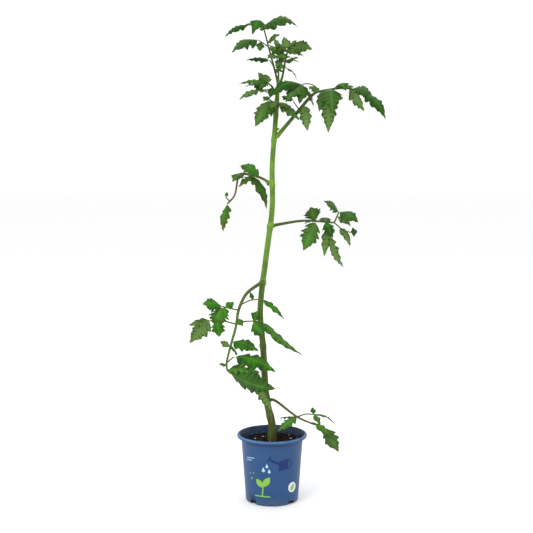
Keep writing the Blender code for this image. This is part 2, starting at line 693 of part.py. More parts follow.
def make_leaf(name, stalks, leaflets, collection, stem_cutters, green):
    """One compound leaf: its stalks and leaflets fused, and cut clear of the stem."""
    pieces = new_collection(name + "_pieces")
    routes = {}
    for stalk, (parent, where, legs, radii) in stalks.items():
        start = stem_centre(where) if parent == "stem" else point_on(routes[parent], where)
        routes[stalk] = legs_route(start, legs)
        count = max(3, round(sum(length for _, _, length in legs) / TUBE_STEP) + 1)
        line = smooth_path(routes[stalk], count)
        taper = [radii[0] + (radii[1] - radii[0]) * i / (count - 1) for i in range(count)]
        level = 1 if radii[0] > THIN_STALK else 0
        tube(name + "_" + stalk, line, taper, pieces, level)
    for index, leaflet in enumerate(leaflets):
        stalk, where, heading, climb, length, width, arch, face, lobes = leaflet
        base = point_on(routes[stalk], where)
        reach = leg(heading, climb, length)
        make_leaflet("%s_leaflet_%d" % (name, index), base, reach, width, arch, face, lobes, pieces)
    body = pieces.objects[name + "_rib"]
    pieces.objects.unlink(body)
    collection.objects.link(body)
    body.name = name
    # Thin blades that cross leave a gap with the exact solver
    combine(body, pieces, "UNION", "MANIFOLD")
    combine(body, stem_cutters, "DIFFERENCE", "MANIFOLD")
    empty_collection(pieces)
    finish(body, green)
    return body


# ---------------------------------------------------------------- the whole plant

def main():
    clear_scene()
    plant = new_collection("tomato_plant_in_pot")
    cutters = new_collection("cutters")
    plastic = new_material("blue_plastic", (0.045, 0.115, 0.30), 0.45)
    earth = new_material("soil", (0.030, 0.018, 0.012), 0.95)
    bark = new_material("green_stem", (0.16, 0.30, 0.05), 0.55)
    green = new_material("leaf_green", (0.045, 0.14, 0.022), 0.5)
    make_pot(plant, cutters, plastic)
    make_soil(plant, earth)
    make_stem(plant, bark)
    stem_cutters = new_collection("stem_clearance")
    stem_tube("stem_clearance", GAP + FACET_ALLOWANCE, stem_cutters)
    for name, (stalks, leaflets) in LEAVES.items():
        make_leaf(name, stalks, leaflets, plant, stem_cutters, green)
    empty_collection(stem_cutters)


main()
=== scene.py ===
"""The finished looks of a young tomato plant in a round plastic pot.

The pot stands at the origin, +Z up and -Y towards the viewer. Tables are in millimetres, and MM
turns them into metres. Each leaf is rebuilt with finer leaflets on the same stalks as the solid
it stands for, so the plant keeps its form.
"""

import json
import math

import bmesh
import bpy
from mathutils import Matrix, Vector
from mathutils.noise import noise

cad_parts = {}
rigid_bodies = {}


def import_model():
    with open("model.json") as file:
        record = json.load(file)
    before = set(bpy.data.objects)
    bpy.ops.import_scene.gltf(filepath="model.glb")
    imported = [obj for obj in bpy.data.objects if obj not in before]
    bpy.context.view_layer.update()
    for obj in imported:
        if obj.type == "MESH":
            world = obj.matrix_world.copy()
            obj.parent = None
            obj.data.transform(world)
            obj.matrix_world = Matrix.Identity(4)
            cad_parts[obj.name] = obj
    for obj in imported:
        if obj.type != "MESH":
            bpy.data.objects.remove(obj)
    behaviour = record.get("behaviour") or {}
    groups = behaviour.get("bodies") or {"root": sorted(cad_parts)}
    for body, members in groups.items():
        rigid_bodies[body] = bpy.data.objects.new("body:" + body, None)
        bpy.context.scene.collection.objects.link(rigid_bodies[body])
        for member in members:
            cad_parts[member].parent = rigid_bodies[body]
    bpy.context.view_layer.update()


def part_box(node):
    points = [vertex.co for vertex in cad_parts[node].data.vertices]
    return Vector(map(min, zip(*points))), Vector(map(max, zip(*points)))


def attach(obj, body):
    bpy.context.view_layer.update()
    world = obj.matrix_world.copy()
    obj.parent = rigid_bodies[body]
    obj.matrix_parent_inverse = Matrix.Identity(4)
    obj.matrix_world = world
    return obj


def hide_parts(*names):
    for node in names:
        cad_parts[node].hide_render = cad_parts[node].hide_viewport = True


MM = 0.001

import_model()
pot_low, pot_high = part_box("pot")

# ---------- sizes

# Pot, worked out from the solid pot
RIM_RADIUS = (pot_high.y - pot_low.y) / 2 / MM
POT_HEIGHT = pot_high.z / MM
BASE_RADIUS = RIM_RADIUS * 0.75
WALL_TOP_RADIUS = RIM_RADIUS * 53 / 60
WALL = 1.4
FLOOR = 1.8
LIP_HEIGHT = 5.5
LIP_OVERHANG = 5.0
LIP_ROLL = 2.3                 # radius of the lip's rounded top
LIP_EDGE = 1.2                 # and of its lower edge
FOOT_ROUND = 1.6
WALL_SHARES = (0.8, 0.6, 0.4, 0.2)    # heights of the wall's rings, as shares of its height
POT_STEPS = 160
POT_CREASE = 35
NOTCH_COUNT = 8
NOTCH_SIZES = [(5.0, 3.0), (13.0, 6.0)]
NOTCH_DEPTH = 4.0
NOTCH_ROUND = 0.4              # radius of a notch's upper corners, as a share of its height

# Soil
SOIL_LEVEL = 102.0
SOIL_GAP = 0.5
SOIL_RINGS = 40
SOIL_STEPS = 120
SOIL_LUMPS = [(1.2, 0, 0.11), (1.5, 4, 0.35), (0.9, 9, 0.9)]    # height, layer, fineness
GRAIN_MARGIN = 3.2             # how far loose grains stay from the pot's wall

# Stem: a few points of its centre line, and its radius at some heights
STEM_ROUTE = [
    (0, 0, 70), (0, 0, 105), (0, 0, 130), (-10, 0, 180), (-15, 5, 260),
    (-20, 5, 330), (-10, 0, 420), (0, 0, 500), (0, 0, 570), (5, 0, 640), (10, 0, 710),
]
STEM_RADII = [(70, 7.5), (110, 7.5), (150, 6.0), (300, 5.0), (500, 4.5), (680, 4.0), (710, 2.5)]
STEM_JOINTS = [(145, 0.7), (175, 0.6), (265, 0.8), (375, 1.3), (470, 1.3), (540, 0.9), (615, 0.9),
               (655, 0.5)]
LOWEST_PALE_JOINT = 300
JOINT_HALF_HEIGHT = 5.0
STEM_STUBS = [(145, 180, 8.5), (265, 200, 7.5), (630, -20, 9.0)]    # height, heading, length
STUB_SHAPE = [(0.3, 2.3), (0.5, 2.0), (0.7, 1.8), (0.85, 1.5), (0.97, 0.8)]    # share, radius
STUB_RISE = 0.45
STEM_POINTS = 44
STEM_FINE_STEPS = 6            # fine points for each of the stem's own points
STEM_SIDES = 32
STEM_RIBS = 0.025

# Stalks
STALK_STEP = 2.5
STALK_SIDES = 12
STALK_SUNK = 1.0               # how deep a stalk's foot is sunk in the stem
STALK_FULLNESS = 1.15          # stalks are a little stouter than the solid ones
FOOT_SWELLING = 1.0
FOOT_STEPS = 2.5               # how many steps the swelling takes to fade

# Leaflets
BLADE_THICKNESS = 0.5
BLADE_COLUMNS = 6              # on each side of the rib
ROWS_PER_LOBE = 12
ROWS_AT_TIP = 10
BLADE_START = 0.05
BLADE_CREASE = 50
WIDEST_SKEW = 0.62             # under 1, the widest place is nearer the stalk
EDGE_ROUNDNESS = 0.8
TIP_DRAW = 0.35                # width taken from the outer half, which draws out the tip
TIP_HALF_WIDTH = 0.12
TIP_LOBE = 0.8                 # the end of a leaflet past its last notch, as a share of a lobe
LOBE_SHIFT = 0.06
LOBE_CREST = 0.62              # where in a lobe it is widest
NOTCH_AT_BASE = 0.48           # width left at the notch nearest the stalk
NOTCH_AT_TIP = 0.88            # and at the one nearest the tip
NOTCH_DRIFT = 0.12
TOOTH = 0.06
FULLEST_EDGE = 1.06
LEAFLET_TWIST = 0.25
VEIN_PUCKER = 0.45
FOLD = 0.18                    # fall of each half away from the rib, for one unit outwards
CUP = 0.14                     # more fall towards the edge
RIB_GROOVE = 0.4
EDGE_WAVE = 0.9
FULL_RELIEF = 3.0              # half width from which a blade has its full relief
FORWARD_LEAN = 0.6
RIB_RADIUS = 0.55
RIB_TAPER = 0.75
RIB_REACH = 0.88
RIB_SINK = 0.4
RIB_STEPS = 14
RIB_SIDES = 6
SHADE_DRIFT = 0.4              # how far leaflets of one leaf differ in tone
OLIVE_DRIFT = 0.3
HANGING_PAINTED_SHADE = 0.5            # a leaflet that faces down to the front is darker, as painted shade
STALK_FINISH = 0
BLADE_FINISH = 1
RIB_FINISH = 2

# Print
PRINT_PROUD = 0.15
PRINT_REACH = 60               # each way from the middle of the front
PRINT_CUT = 3                  # the print is cut this often to follow the wall
PRINT_CUT_SHIFT = 0.37         # keeps the cuts off the outlines' corners
PRINT_SLIVER = 0.02            # shorter edges are taken out

# What is scattered: name, finish, how many on a square metre, smallest and largest size,
# flatness, seed. The hairs have the same from how many onwards.
SOIL_GRAINS = [
    ("soil_crumbs_small", "compost_crumbs", 90000.0, 0.8, 2.2, 0.8, 1),
    ("soil_crumbs_large", "compost_crumbs", 32000.0, 2.0, 5.0, 0.7, 2),
    ("soil_chips", "bark_chips", 3200.0, 2.0, 6.0, 0.4, 4),
    ("soil_grit", "white_grit", 1500.0, 1.5, 5.0, 0.7, 5),
]
STEM_HAIRS = (160000.0, 0.7, 1.5, 1.0, 3)
GRAIN_FACING = 0.5             # grains lie only on faces that look up at least this much
HAIR_FACING = -2.0             # hairs stand on all faces

# ---------- colours

# Colours by height, as a share of the plant's height
STEM_COLOURS = [
    (0.13, (0.062, 0.050, 0.022)), (0.20, (0.052, 0.058, 0.016)), (0.42, (0.050, 0.095, 0.013)),
    (0.49, (0.085, 0.180, 0.019)), (0.60, (0.095, 0.210, 0.020)),
    (0.72, (0.112, 0.250, 0.020)), (0.90, (0.070, 0.160, 0.016)),
]
STALK_COLOURS = [
    (0.20, (0.085, 0.085, 0.020)), (0.33, (0.105, 0.190, 0.020)), (0.46, (0.060, 0.078, 0.016)),
    (0.58, (0.050, 0.075, 0.015)), (0.80, (0.040, 0.085, 0.012)), (1.00, (0.050, 0.110, 0.014)),
]
PLANT_HEIGHT = 0.82            # in metres, as a material reads it
STEM_STREAK = (0.175, 0.330, 0.040)
STEM_SHADE = (0.040, 0.070, 0.014)
STALK_STREAK = (0.100, 0.160, 0.026)
STALK_SHADE = (0.045, 0.050, 0.016)
JOINT_GREEN = (0.210, 0.360, 0.060)
DRIED_STALK = (0.200, 0.100, 0.035)
HAIR_GREEN = (0.260, 0.380, 0.120)

# Blades, from old and bright to young and dark
BLADE_GREENS = [(0.0, (0.034, 0.180, 0.007)), (0.5, (0.024, 0.110, 0.006)),
                (1.0, (0.017, 0.066, 0.007))]
UNDERSIDE_DARK = (0.075, 0.155, 0.026)
UNDERSIDE_PALE = (0.185, 0.300, 0.085)
VEIN_GREEN = (0.130, 0.270, 0.045)
# Painted shade in the hollows along the side veins
VALLEY_PAINTED_SHADE = (0.007, 0.036, 0.005)
DRIED_EDGE = (0.230, 0.140, 0.050)

# Pot
POT_BLUE = (0.014, 0.056, 0.152)
POT_DUST = (0.120, 0.150, 0.170)
# Painted highlight along the top of the lip
POT_LIP_HIGHLIGHT = (0.090, 0.230, 0.450)

# Print: name, colour, wear
PRINT_INKS = [
    ("print_lime", (0.200, 0.400, 0.045), 0.2),
    ("print_pale", (0.330, 0.540, 0.700), 0.2),
    ("print_navy", (0.002, 0.020, 0.120), 0.2),
    ("print_white", (0.620, 0.640, 0.680), 0.1),
]

# Soil and its grains, each between two colours
SOIL_COLOURS = {
    "compost": ((0.007, 0.004, 0.003), (0.018, 0.011, 0.007)),
    "compost_crumbs": ((0.006, 0.004, 0.003), (0.026, 0.015, 0.009)),
    "bark_chips": ((0.210, 0.110, 0.050), (0.420, 0.270, 0.150)),
    "white_grit": ((0.620, 0.560, 0.450), (0.780, 0.740, 0.650)),
}

# Studio
LIGHTS = [
    ("key", (-1.6, -2.0, 2.2), 1.6, 40.0),
    ("fill", (2.0, -1.6, 1.4), 2.0, 8.0),
    ("back", (0.5, 2.0, 2.2), 1.8, 14.0),
]
LIGHT_TARGET = (0, 0, 0.42)
SKY_STRENGTH = 1.05
FLOOR_COLOUR = (0.93, 0.93, 0.93)
FLOOR_SIZE = 30
FLOOR_DROP = 0.0005
LENS = 70.2
SENSOR_WIDTH = 36
CAMERA_PLACE = (-0.0095, -1.748, 0.578)
CAMERA_PITCH = 5.74

# ---------- the leaves, one by one

# Directions that the upper face of a leaflet can look
UP = (0, 0, 1)
FRONT = (0, -1, 0.2)
FRONT_UP = (0, -0.8, 1)
FRONT_DOWN = (0, -1, -0.6)
BACK = (0, 1, 0.2)
BACK_UP = (0, 0.8, 1)
BACK_RIGHT = (0.8, 1, 0.2)
BACK_LEFT = (-1, 0.8, -0.2)
RIGHT = (0.6, -1, 0.3)
LEFT = (-1, -1, 0.2)

# How green each leaf is: 0 old and bright, 1 young and dark. The second value is how dry it is,
# and the third how much its upper side takes from the olive of its lower side.
LEAF_TONES = {
    "leaf_low_right": (0.6, 0.15, 0.1),
    "leaf_low_left": (0.15, 0.1, 0.05),
    "leaf_mid_right": (0.6, 0.05, 0.15),
    "leaf_mid_left": (0.5, 0.6, 0.2),
    "leaf_high_right": (0.8, 0.0, 0.15),
    "leaf_high_left": (0.5, 0.0, 0.35),
    "leaf_high_front": (0.6, 0.0, 0.5),
    "leaf_top_left": (0.7, 0.0, 0.4),
    "leaf_crown": (1.0, 0.0, 0.15),
    "leaf_young_right": (0.6, 0.0, 0.6),
    "shoot_tip": (0.4, 0.0, 0.7),
}

# Headings turn round the plant in degrees: 0 right, 90 away from the viewer, 180 left,
# -90 towards the viewer. A climb is in degrees above the level.
# A stalk: what it grows from, where on it, its legs, its radius at both ends.
# A leg: heading, climb, length.
# A leaflet: stalk, where, heading, climb, length, width, lobes, arch, upper face. The last one or
# two are left out where they are the usual ones.
USUAL_BLADE = (0.1, FRONT_UP)
LEAVES = {
    "leaf_low_right": ({
        "rib": ("stem", 170, [(-20, 10, 15), (-25, -30, 50), (-25, -15, 50)], (2.6, 1.1)),
        "upper": ("rib", 0.65, [(-5, 20, 15), (15, -5, 15)], (1.1, 0.9)),
        "lower": ("rib", 0.8, [(-45, 5, 15)], (0.9, 0.8)),
    }, [
        ("rib", 0.65, 155, -10, 35, 14, 2, 0.05, UP), ("rib", 0.65, 215, -25, 45, 18, 3),
        ("rib", 1, -30, -55, 45, 26, 3, 0.1, FRONT), ("upper", 1, -60, -35, 25, 12, 1),
        ("upper", 1, 30, -30, 50, 16, 2, 0.15, UP), ("upper", 1, 105, 40, 15, 10, 1),
        ("lower", 1, -30, -35, 40, 15, 2),
    ]),
    "leaf_low_left": ({
        "rib": ("stem", 375, [(-110, 0, 10), (195, -35, 30), (210, -60, 30), (230, -75, 30),
                              (220, -70, 35), (220, -75, 30), (300, -35, 20),
                              (10, -25, 45)], (2.8, 1.1)),
        "inner": ("rib", 0.34, [(-15, 25, 20), (-5, 5, 20)], (1.1, 0.9)),
        "outer": ("rib", 0.38, [(170, 10, 15), (155, 10, 15)], (1.1, 0.9)),
        "left": ("rib", 0.48, [(190, 15, 25), (195, 5, 20)], (1.2, 0.9)),
        "across": ("rib", 0.48, [(-20, 20, 15), (-10, 5, 15)], (1.3, 1.0)),
        "over": ("across", 1, [(10, -5, 15)], (1.0, 0.9)),
        "low": ("rib", 0.73, [(5, 40, 15)], (1.2, 1.0)),
    }, [
        ("inner", 1, -20, -40, 50, 13, 2), ("inner", 0.6, 130, 55, 15, 8, 1),
        ("outer", 0.8, 40, 20, 20, 16, 1), ("outer", 1, 240, -60, 40, 36, 4, 0.2),
        ("outer", 1, 200, 10, 35, 34, 3, 0.15), ("outer", 0.9, -70, -50, 25, 14, 1, 0.1, FRONT),
        ("left", 0.7, -75, -60, 30, 26, 2, 0.15), ("left", 1, 150, -45, 60, 30, 3, 0.05, BACK),
        ("left", 1, 165, -15, 40, 16, 2, 0.05, BACK),
        ("rib", 0.44, -50, -35, 20, 12, 1, 0.1, FRONT),
        ("across", 1, 20, 60, 20, 18, 1, 0.05, FRONT),
        ("across", 1, -30, -50, 35, 26, 2, 0.15, FRONT), ("over", 1, 5, -40, 90, 19, 3, -0.05),
        ("rib", 0.59, -20, -15, 50, 28, 3, 0.15), ("rib", 0.62, 190, 30, 20, 18, 1, 0.1, BACK_UP),
        ("rib", 0.61, -60, -35, 25, 24, 2, 0.1, BACK_UP), ("low", 1, 0, -20, 75, 34, 3, 0.15),
        ("rib", 0.78, -15, -20, 90, 52, 4, 0.15, FRONT_DOWN), ("rib", 0.82, -20, 0, 60, 17, 2),
        ("rib", 0.75, 210, 10, 15, 10, 1), ("rib", 1, 15, -60, 55, 22, 3, 0.05, BACK_RIGHT),
    ]),
    "leaf_mid_right": ({
        "rib": ("stem", 470, [(30, 10, 20), (30, 5, 50), (30, -5, 60)], (2.6, 1.3)),
        "rising": ("rib", 1, [(20, 65, 20)], (1.3, 1.0)),
        "drop": ("rib", 0.9, [(-50, -70, 25)], (1.2, 0.9)),
        "end": ("rib", 1, [(-30, -35, 20), (15, -20, 15)], (1.0, 0.8)),
    }, [
        ("rib", 0.79, 235, 55, 30, 32, 3, 0.05, FRONT),
        ("rib", 0.79, 230, -55, 60, 34, 4, 0.05, FRONT),
        ("rib", 0.76, 125, -15, 25, 12, 1, 0.1, UP), ("drop", 0.5, 250, -70, 50, 17, 2, 0.05, BACK),
        ("drop", 1, -5, -65, 60, 24, 3, 0.1, BACK_LEFT),
        ("rib", 0.9, -60, -50, 35, 22, 2, 0.1, FRONT), ("rib", 0.9, 90, 5, 35, 22, 3, 0.15, UP),
        ("rising", 1, 200, 35, 35, 24, 3, 0.15), ("rising", 1, -25, -25, 40, 30, 2, 0.2),
        ("rising", 0.6, 5, -35, 30, 16, 1, 0.15, BACK_UP),
        ("end", 0.3, -20, -50, 30, 18, 2, 0.1, BACK_UP),
        ("end", 0.6, -40, -65, 30, 12, 1, 0.1, BACK_UP), ("end", 1, 30, 5, 15, 15, 1, 0.05, FRONT),
    ]),
    "leaf_mid_left": ({
        "rib": ("stem", 540, [(130, 20, 35), (150, 10, 35), (195, -40, 10), (225, -75, 30),
                              (200, -50, 20)], (2.1, 1.3)),
        "stub": ("rib", 0.95, [(190, 50, 10)], (1.0, 0.8)),
    }, [
        ("rib", 0.2, 150, 25, 45, 28, 3, 0.25), ("rib", 0.3, 5, -65, 65, 20, 3, 0.2, RIGHT),
        ("rib", 0.4, 245, -20, 40, 24, 3, 0.15), ("rib", 0.28, 215, -35, 35, 16, 2),
        ("rib", 0.45, 250, -25, 25, 13, 1), ("rib", 0.15, 40, -30, 30, 18, 2),
        ("rib", 1, 245, -70, 50, 24, 3, 0.1, LEFT), ("stub", 1, 60, 60, 10, 7, 1, 0.1, FRONT),
    ]),
    "leaf_high_right": ({
        "rib": ("stem", 615, [(-30, 45, 55), (-30, 45, 45), (-30, 20, 20), (-20, 5, 40),
                              (0, -15, 30)], (2.9, 1.0)),
        "back": ("rib", 0.4, [(150, 45, 25)], (1.0, 0.8)),
        "spur": ("rib", 0.25, [(140, 50, 20)], (0.9, 0.7)),
        "curl": ("rib", 0.55, [(140, 45, 15), (170, 10, 15), (200, -35, 10)], (0.8, 0.7)),
    }, [
        ("rib", 0.66, -85, -45, 60, 42, 4, 0.35), ("rib", 0.67, 95, -80, 70, 28, 4, 0.05, BACK),
        ("rib", 0.61, 250, -60, 40, 17, 2, 0.1, FRONT), ("rib", 0.56, 135, 20, 25, 17, 2, 0.15),
        ("rib", 0.73, -70, -10, 35, 26, 3, 0.3), ("rib", 0.82, -40, -50, 50, 26, 3, 0.1, BACK_UP),
        ("rib", 0.86, 10, -15, 35, 30, 3, 0.2), ("rib", 0.8, 75, 10, 30, 20, 2),
        ("rib", 1, -15, -50, 55, 26, 3, 0.2), ("rib", 0.3, -60, -75, 45, 21, 3, 0.05, BACK),
        ("back", 1, 205, -20, 60, 28, 4, 0.25), ("back", 1, 230, -35, 50, 28, 3, 0.15),
        ("back", 0.9, 255, -50, 40, 22, 2, 0.15), ("back", 1, -45, -55, 45, 13, 2, 0.1, BACK_UP),
        ("spur", 1, 145, 20, 25, 16, 2),
    ]),
    "leaf_high_left": ({
        "rib": ("stem", 655, [(240, 65, 20), (220, 45, 10)], (1.8, 1.1)),
    }, [
        ("rib", 1, 220, -55, 55, 30, 4), ("rib", 1, 150, 20, 15, 15, 1),
        ("rib", 0.6, 250, -70, 25, 12, 1, 0.05, FRONT),
    ]),
    "leaf_high_front": ({
        "rib": ("stem", 670, [(-80, 25, 15), (-80, -10, 10)], (1.6, 1.0)),
    }, [
        ("rib", 1, -15, -40, 45, 24, 2), ("rib", 0.85, -60, -20, 30, 18, 2),
        ("rib", 0.7, 240, -20, 30, 19, 2, 0.1, FRONT),
    ]),
    "leaf_top_left": ({
        "rib": ("stem", 685, [(225, 55, 20), (205, 35, 15)], (1.6, 1.0)),
        "low": ("rib", 0.4, [(220, -10, 15), (190, 5, 10)], (1.0, 0.8)),
    }, [
        ("rib", 1, 165, 50, 20, 13, 1, 0.05, FRONT), ("rib", 1, 170, -5, 45, 13, 2),
        ("rib", 0.85, 200, -10, 40, 12, 2), ("rib", 0.8, 250, 45, 20, 15, 2, 0.1, BACK_UP),
        ("rib", 0.5, 255, -50, 25, 14, 2, 0.1, FRONT), ("rib", 0.9, 235, -30, 25, 16, 2, 0.15),
        ("rib", 0.95, 110, 50, 15, 10, 1, 0.1, BACK_UP), ("low", 0.8, 150, 30, 20, 18, 2, 0.15),
        ("low", 0.6, 245, -15, 20, 14, 1), ("low", 1, 195, -25, 40, 15, 2),
    ]),
    "leaf_crown": ({
        "rib": ("stem", 695, [(100, 75, 20), (165, 75, 45), (190, 75, 45)], (1.9, 1.0)),
        "hang": ("rib", 0.75, [(200, 30, 20)], (0.9, 0.7)),
        "left": ("rib", 1, [(170, 15, 15), (180, -5, 10)], (0.9, 0.7)),
        "low": ("rib", 0.5, [(145, 55, 15)], (0.8, 0.7)),
    }, [
        ("rib", 1, 15, 0, 60, 34, 3, 0.3), ("rib", 1, 240, -25, 40, 32, 3, 0.45),
        ("rib", 0.95, 80, 15, 40, 24, 3, 0.2, BACK_UP), ("left", 1, 170, -25, 45, 18, 3, 0.15),
        ("left", 0.7, 115, 5, 25, 14, 1), ("hang", 1, 190, -25, 50, 34, 3, 0.2),
        ("hang", 0.8, -100, -60, 20, 14, 1, 0.1, FRONT),
        ("rib", 0.8, 35, 30, 30, 16, 2, 0.15, BACK_UP),
        ("rib", 0.6, 90, 25, 25, 14, 1, 0.15, BACK_UP), ("low", 1, 180, 0, 40, 17, 2),
    ]),
    "leaf_young_right": ({
        "rib": ("stem", 700, [(-30, 65, 20), (-45, 75, 25), (-30, 75, 25)], (1.8, 1.1)),
        "twin": ("rib", 0.75, [(215, 60, 15)], (0.8, 0.7)),
        "inner": ("rib", 0.5, [(190, 70, 25)], (0.9, 0.7)),
    }, [
        ("rib", 1, 10, -5, 40, 32, 3, 0.2, BACK_UP), ("rib", 0.95, 125, 60, 25, 16, 1, 0.05, BACK),
        ("rib", 0.9, 20, 50, 25, 15, 1), ("rib", 0.9, 35, -10, 35, 14, 2),
        ("rib", 0.7, 25, -5, 25, 12, 1, 0.15, UP), ("rib", 0.55, 10, -45, 30, 11, 1, 0.2, UP),
        ("rib", 0.85, 240, 25, 30, 22, 2, 0.15), ("rib", 0.85, -50, 15, 30, 18, 2, 0.1, BACK_UP),
        ("rib", 0.6, 240, -25, 20, 15, 2), ("rib", 0.65, -10, 20, 25, 14, 1),
        ("rib", 0.45, 225, 20, 20, 14, 1), ("inner", 1, 150, 45, 25, 15, 2),
        ("inner", 1, 60, 60, 20, 13, 1), ("inner", 1, -60, -20, 25, 20, 2, 0.2),
        ("inner", 0.9, 215, -10, 25, 16, 2, 0.15), ("inner", 0.7, -30, 10, 20, 14, 1),
        ("inner", 0.6, 240, -35, 20, 13, 1, 0.1, FRONT), ("inner", 0.3, 200, 20, 15, 12, 1),
        ("twin", 1, 200, 45, 25, 16, 2), ("twin", 1, 185, 5, 25, 12, 1, 0.15),
        ("twin", 0.9, 265, 15, 20, 16, 2, 0.15),
    ]),
    "shoot_tip": ({
        "rib": ("stem", 705, [(60, 85, 45)], (1.2, 0.9)),
    }, [
        ("rib", 1, 80, 80, 20, 13, 1, 0.05, FRONT), ("rib", 0.95, 50, 60, 20, 12, 1, 0.05, BACK_UP),
        ("rib", 0.8, 25, 45, 15, 11, 1), ("rib", 0.6, 65, 45, 15, 10, 1, 0.1, BACK_UP),
        ("rib", 0.75, 100, 40, 15, 11, 1, 0.1, BACK_UP),
        ("rib", 0.45, 235, 40, 10, 10, 1, 0.1, BACK_UP),
    ]),
}


# ---------- lines in space

def around(radius, angle, height=0.0):
    """A place at a radius and an angle round an upright axis."""
    return radius * math.cos(angle), radius * math.sin(angle), height


def curve_point(line, where):
    """One point of a Catmull-Rom curve whose end points are doubled in line."""
    span = min(int(where), len(line) - 4)
    t = where - span
    a, b, c, d = line[span:span + 4]
    bend = 2 * a - 5 * b + 4 * c - d
    twist = 3 * b - a - 3 * c + d
    return 0.5 * (2 * b + (c - a) * t + bend * t * t + twist * t ** 3)


def doubled(points):
    """A route with one more point past each end, as a Catmull-Rom curve needs."""
    line = [Vector(point) for point in points]
    return [2 * line[0] - line[1]] + line + [2 * line[-1] - line[-2]]


def smooth_path(points, count):
    """Points spread along a Catmull-Rom curve through the given points."""
    line = doubled(points)
    return [curve_point(line, i * (len(points) - 1) / (count - 1)) for i in range(count)]


def point_on(points, share):
    """The point at a share of a route's legs."""
    return curve_point(doubled(points), share * (len(points) - 1))


def leg(heading, climb, length):
    """The vector of one straight stretch with a heading and a climb."""
    rise = math.radians(climb)
    return Vector(around(length * math.cos(rise), math.radians(heading), length * math.sin(rise)))


def legs_route(start, legs):
    """The points that a run of legs passes through."""
    points = [start]
    for heading, climb, length in legs:
        points.append(points[-1] + leg(heading, climb, length))
    return points


STEM_LINE = smooth_path(STEM_ROUTE, STEM_POINTS)


def stem_centre(height):
    """Centre of the stem at a height."""
    for low, high in zip(STEM_LINE, STEM_LINE[1:]):
        if low.z <= height <= high.z:
            return low.lerp(high, (height - low.z) / (high.z - low.z))
    return STEM_LINE[-1]


def stem_radius(height):
    """Radius of the stem at a height, with its swollen joints."""
    radius = STEM_RADII[-1][1]
    for low, high in zip(STEM_RADII, STEM_RADII[1:]):
        if low[0] <= height <= high[0]:
            share = (height - low[0]) / (high[0] - low[0])
            radius = low[1] + share * (high[1] - low[1])
            break
    for joint, swelling in STEM_JOINTS:
        radius += swelling * math.exp(-((height - joint) / JOINT_HALF_HEIGHT) ** 2)
    return radius


def deep_in_stem(point, depth):
    """Whether a point lies deeper in the stem than a depth under its skin."""
    if point.z > STEM_LINE[-1].z:
        return False
    return (point.xy - stem_centre(point.z).xy).length < stem_radius(point.z) - depth


def drift(seed, reach=1.0):
    """A steady number between minus reach and reach that belongs to a seed."""
    return reach * max(-1.0, min(1.0, 1.8 * noise(Vector((seed * 7.31, seed * 3.17, 5.5)))))


# ---------- meshes

def new_piece(name, mesh):
    """An object in the scene, at the origin."""
    piece = bpy.data.objects.new(name, mesh)
    bpy.context.scene.collection.objects.link(piece)
    return piece


def finished_mesh(name, bm):
    """The mesh of a bmesh, which is then freed."""
    mesh = bpy.data.meshes.new(name)
    bm.to_mesh(mesh)
    bm.free()
    return mesh


def evaluated_mesh(source):
    """The mesh of an object with its modifiers applied."""
    graph = bpy.context.evaluated_depsgraph_get()
    graph.update()
    return bpy.data.meshes.new_from_object(source.evaluated_get(graph))


def apply_modifiers(piece):
    """Keep what the modifiers make of a piece as its own mesh."""
    piece.data = evaluated_mesh(piece)
    piece.modifiers.clear()


def smooth(mesh, crease):
    """Shade a mesh smooth, apart from edges sharper than an angle in degrees."""
    mesh.shade_smooth()
    mesh.set_sharp_from_angle(angle=math.radians(crease))


def join_rings(bm, rings):
    """Faces between rings that have as many vertices each, with the normals turned outwards."""
    steps = len(rings[0])
    for low, high in zip(rings, rings[1:]):
        for step in range(steps):
            after = (step + 1) % steps
            corners = [low[step], low[after], high[after], high[step]]
            bm.faces.new(list(dict.fromkeys(corners)))
    bmesh.ops.recalc_face_normals(bm, faces=bm.faces)


class Draft:
    """Vertices and faces of one piece, with a few values kept at each vertex."""

    KEPT = ("across", "along", "vein", "under", "tone", "dry")

    def __init__(self):
        self.points = []
        self.faces = []
        self.finish_of_face = []
        self.kept = {name: [] for name in self.KEPT}

    def add(self, point, **values):
        """Add a vertex and give its number."""
        self.points.append(tuple(point * MM))
        for name in self.KEPT:
            self.kept[name].append(values.get(name, 0.0))
        return len(self.points) - 1

    def face(self, corners, finish=0):
        """Add a face that takes one of the piece's finishes."""
        self.faces.append(corners)
        self.finish_of_face.append(finish)

    def build(self, name, finishes):
        """Make the piece's object."""
        mesh = bpy.data.meshes.new(name)
        mesh.from_pydata(self.points, [], self.faces)
        for finish in finishes:
            mesh.materials.append(finish)
        mesh.polygons.foreach_set("material_index", self.finish_of_face)
        for kept, values in self.kept.items():
            mesh.attributes.new(kept, "FLOAT", "POINT").data.foreach_set("value", values)
        smooth(mesh, BLADE_CREASE)
        mesh.update()
        return new_piece(name, mesh)


def square_to(ahead):
    """A direction square to a tube's first stretch."""
    helper = Vector((0, 1, 0)) if abs(ahead.normalized().y) < 0.8 else Vector((1, 0, 0))
    return ahead.cross(helper).normalized()


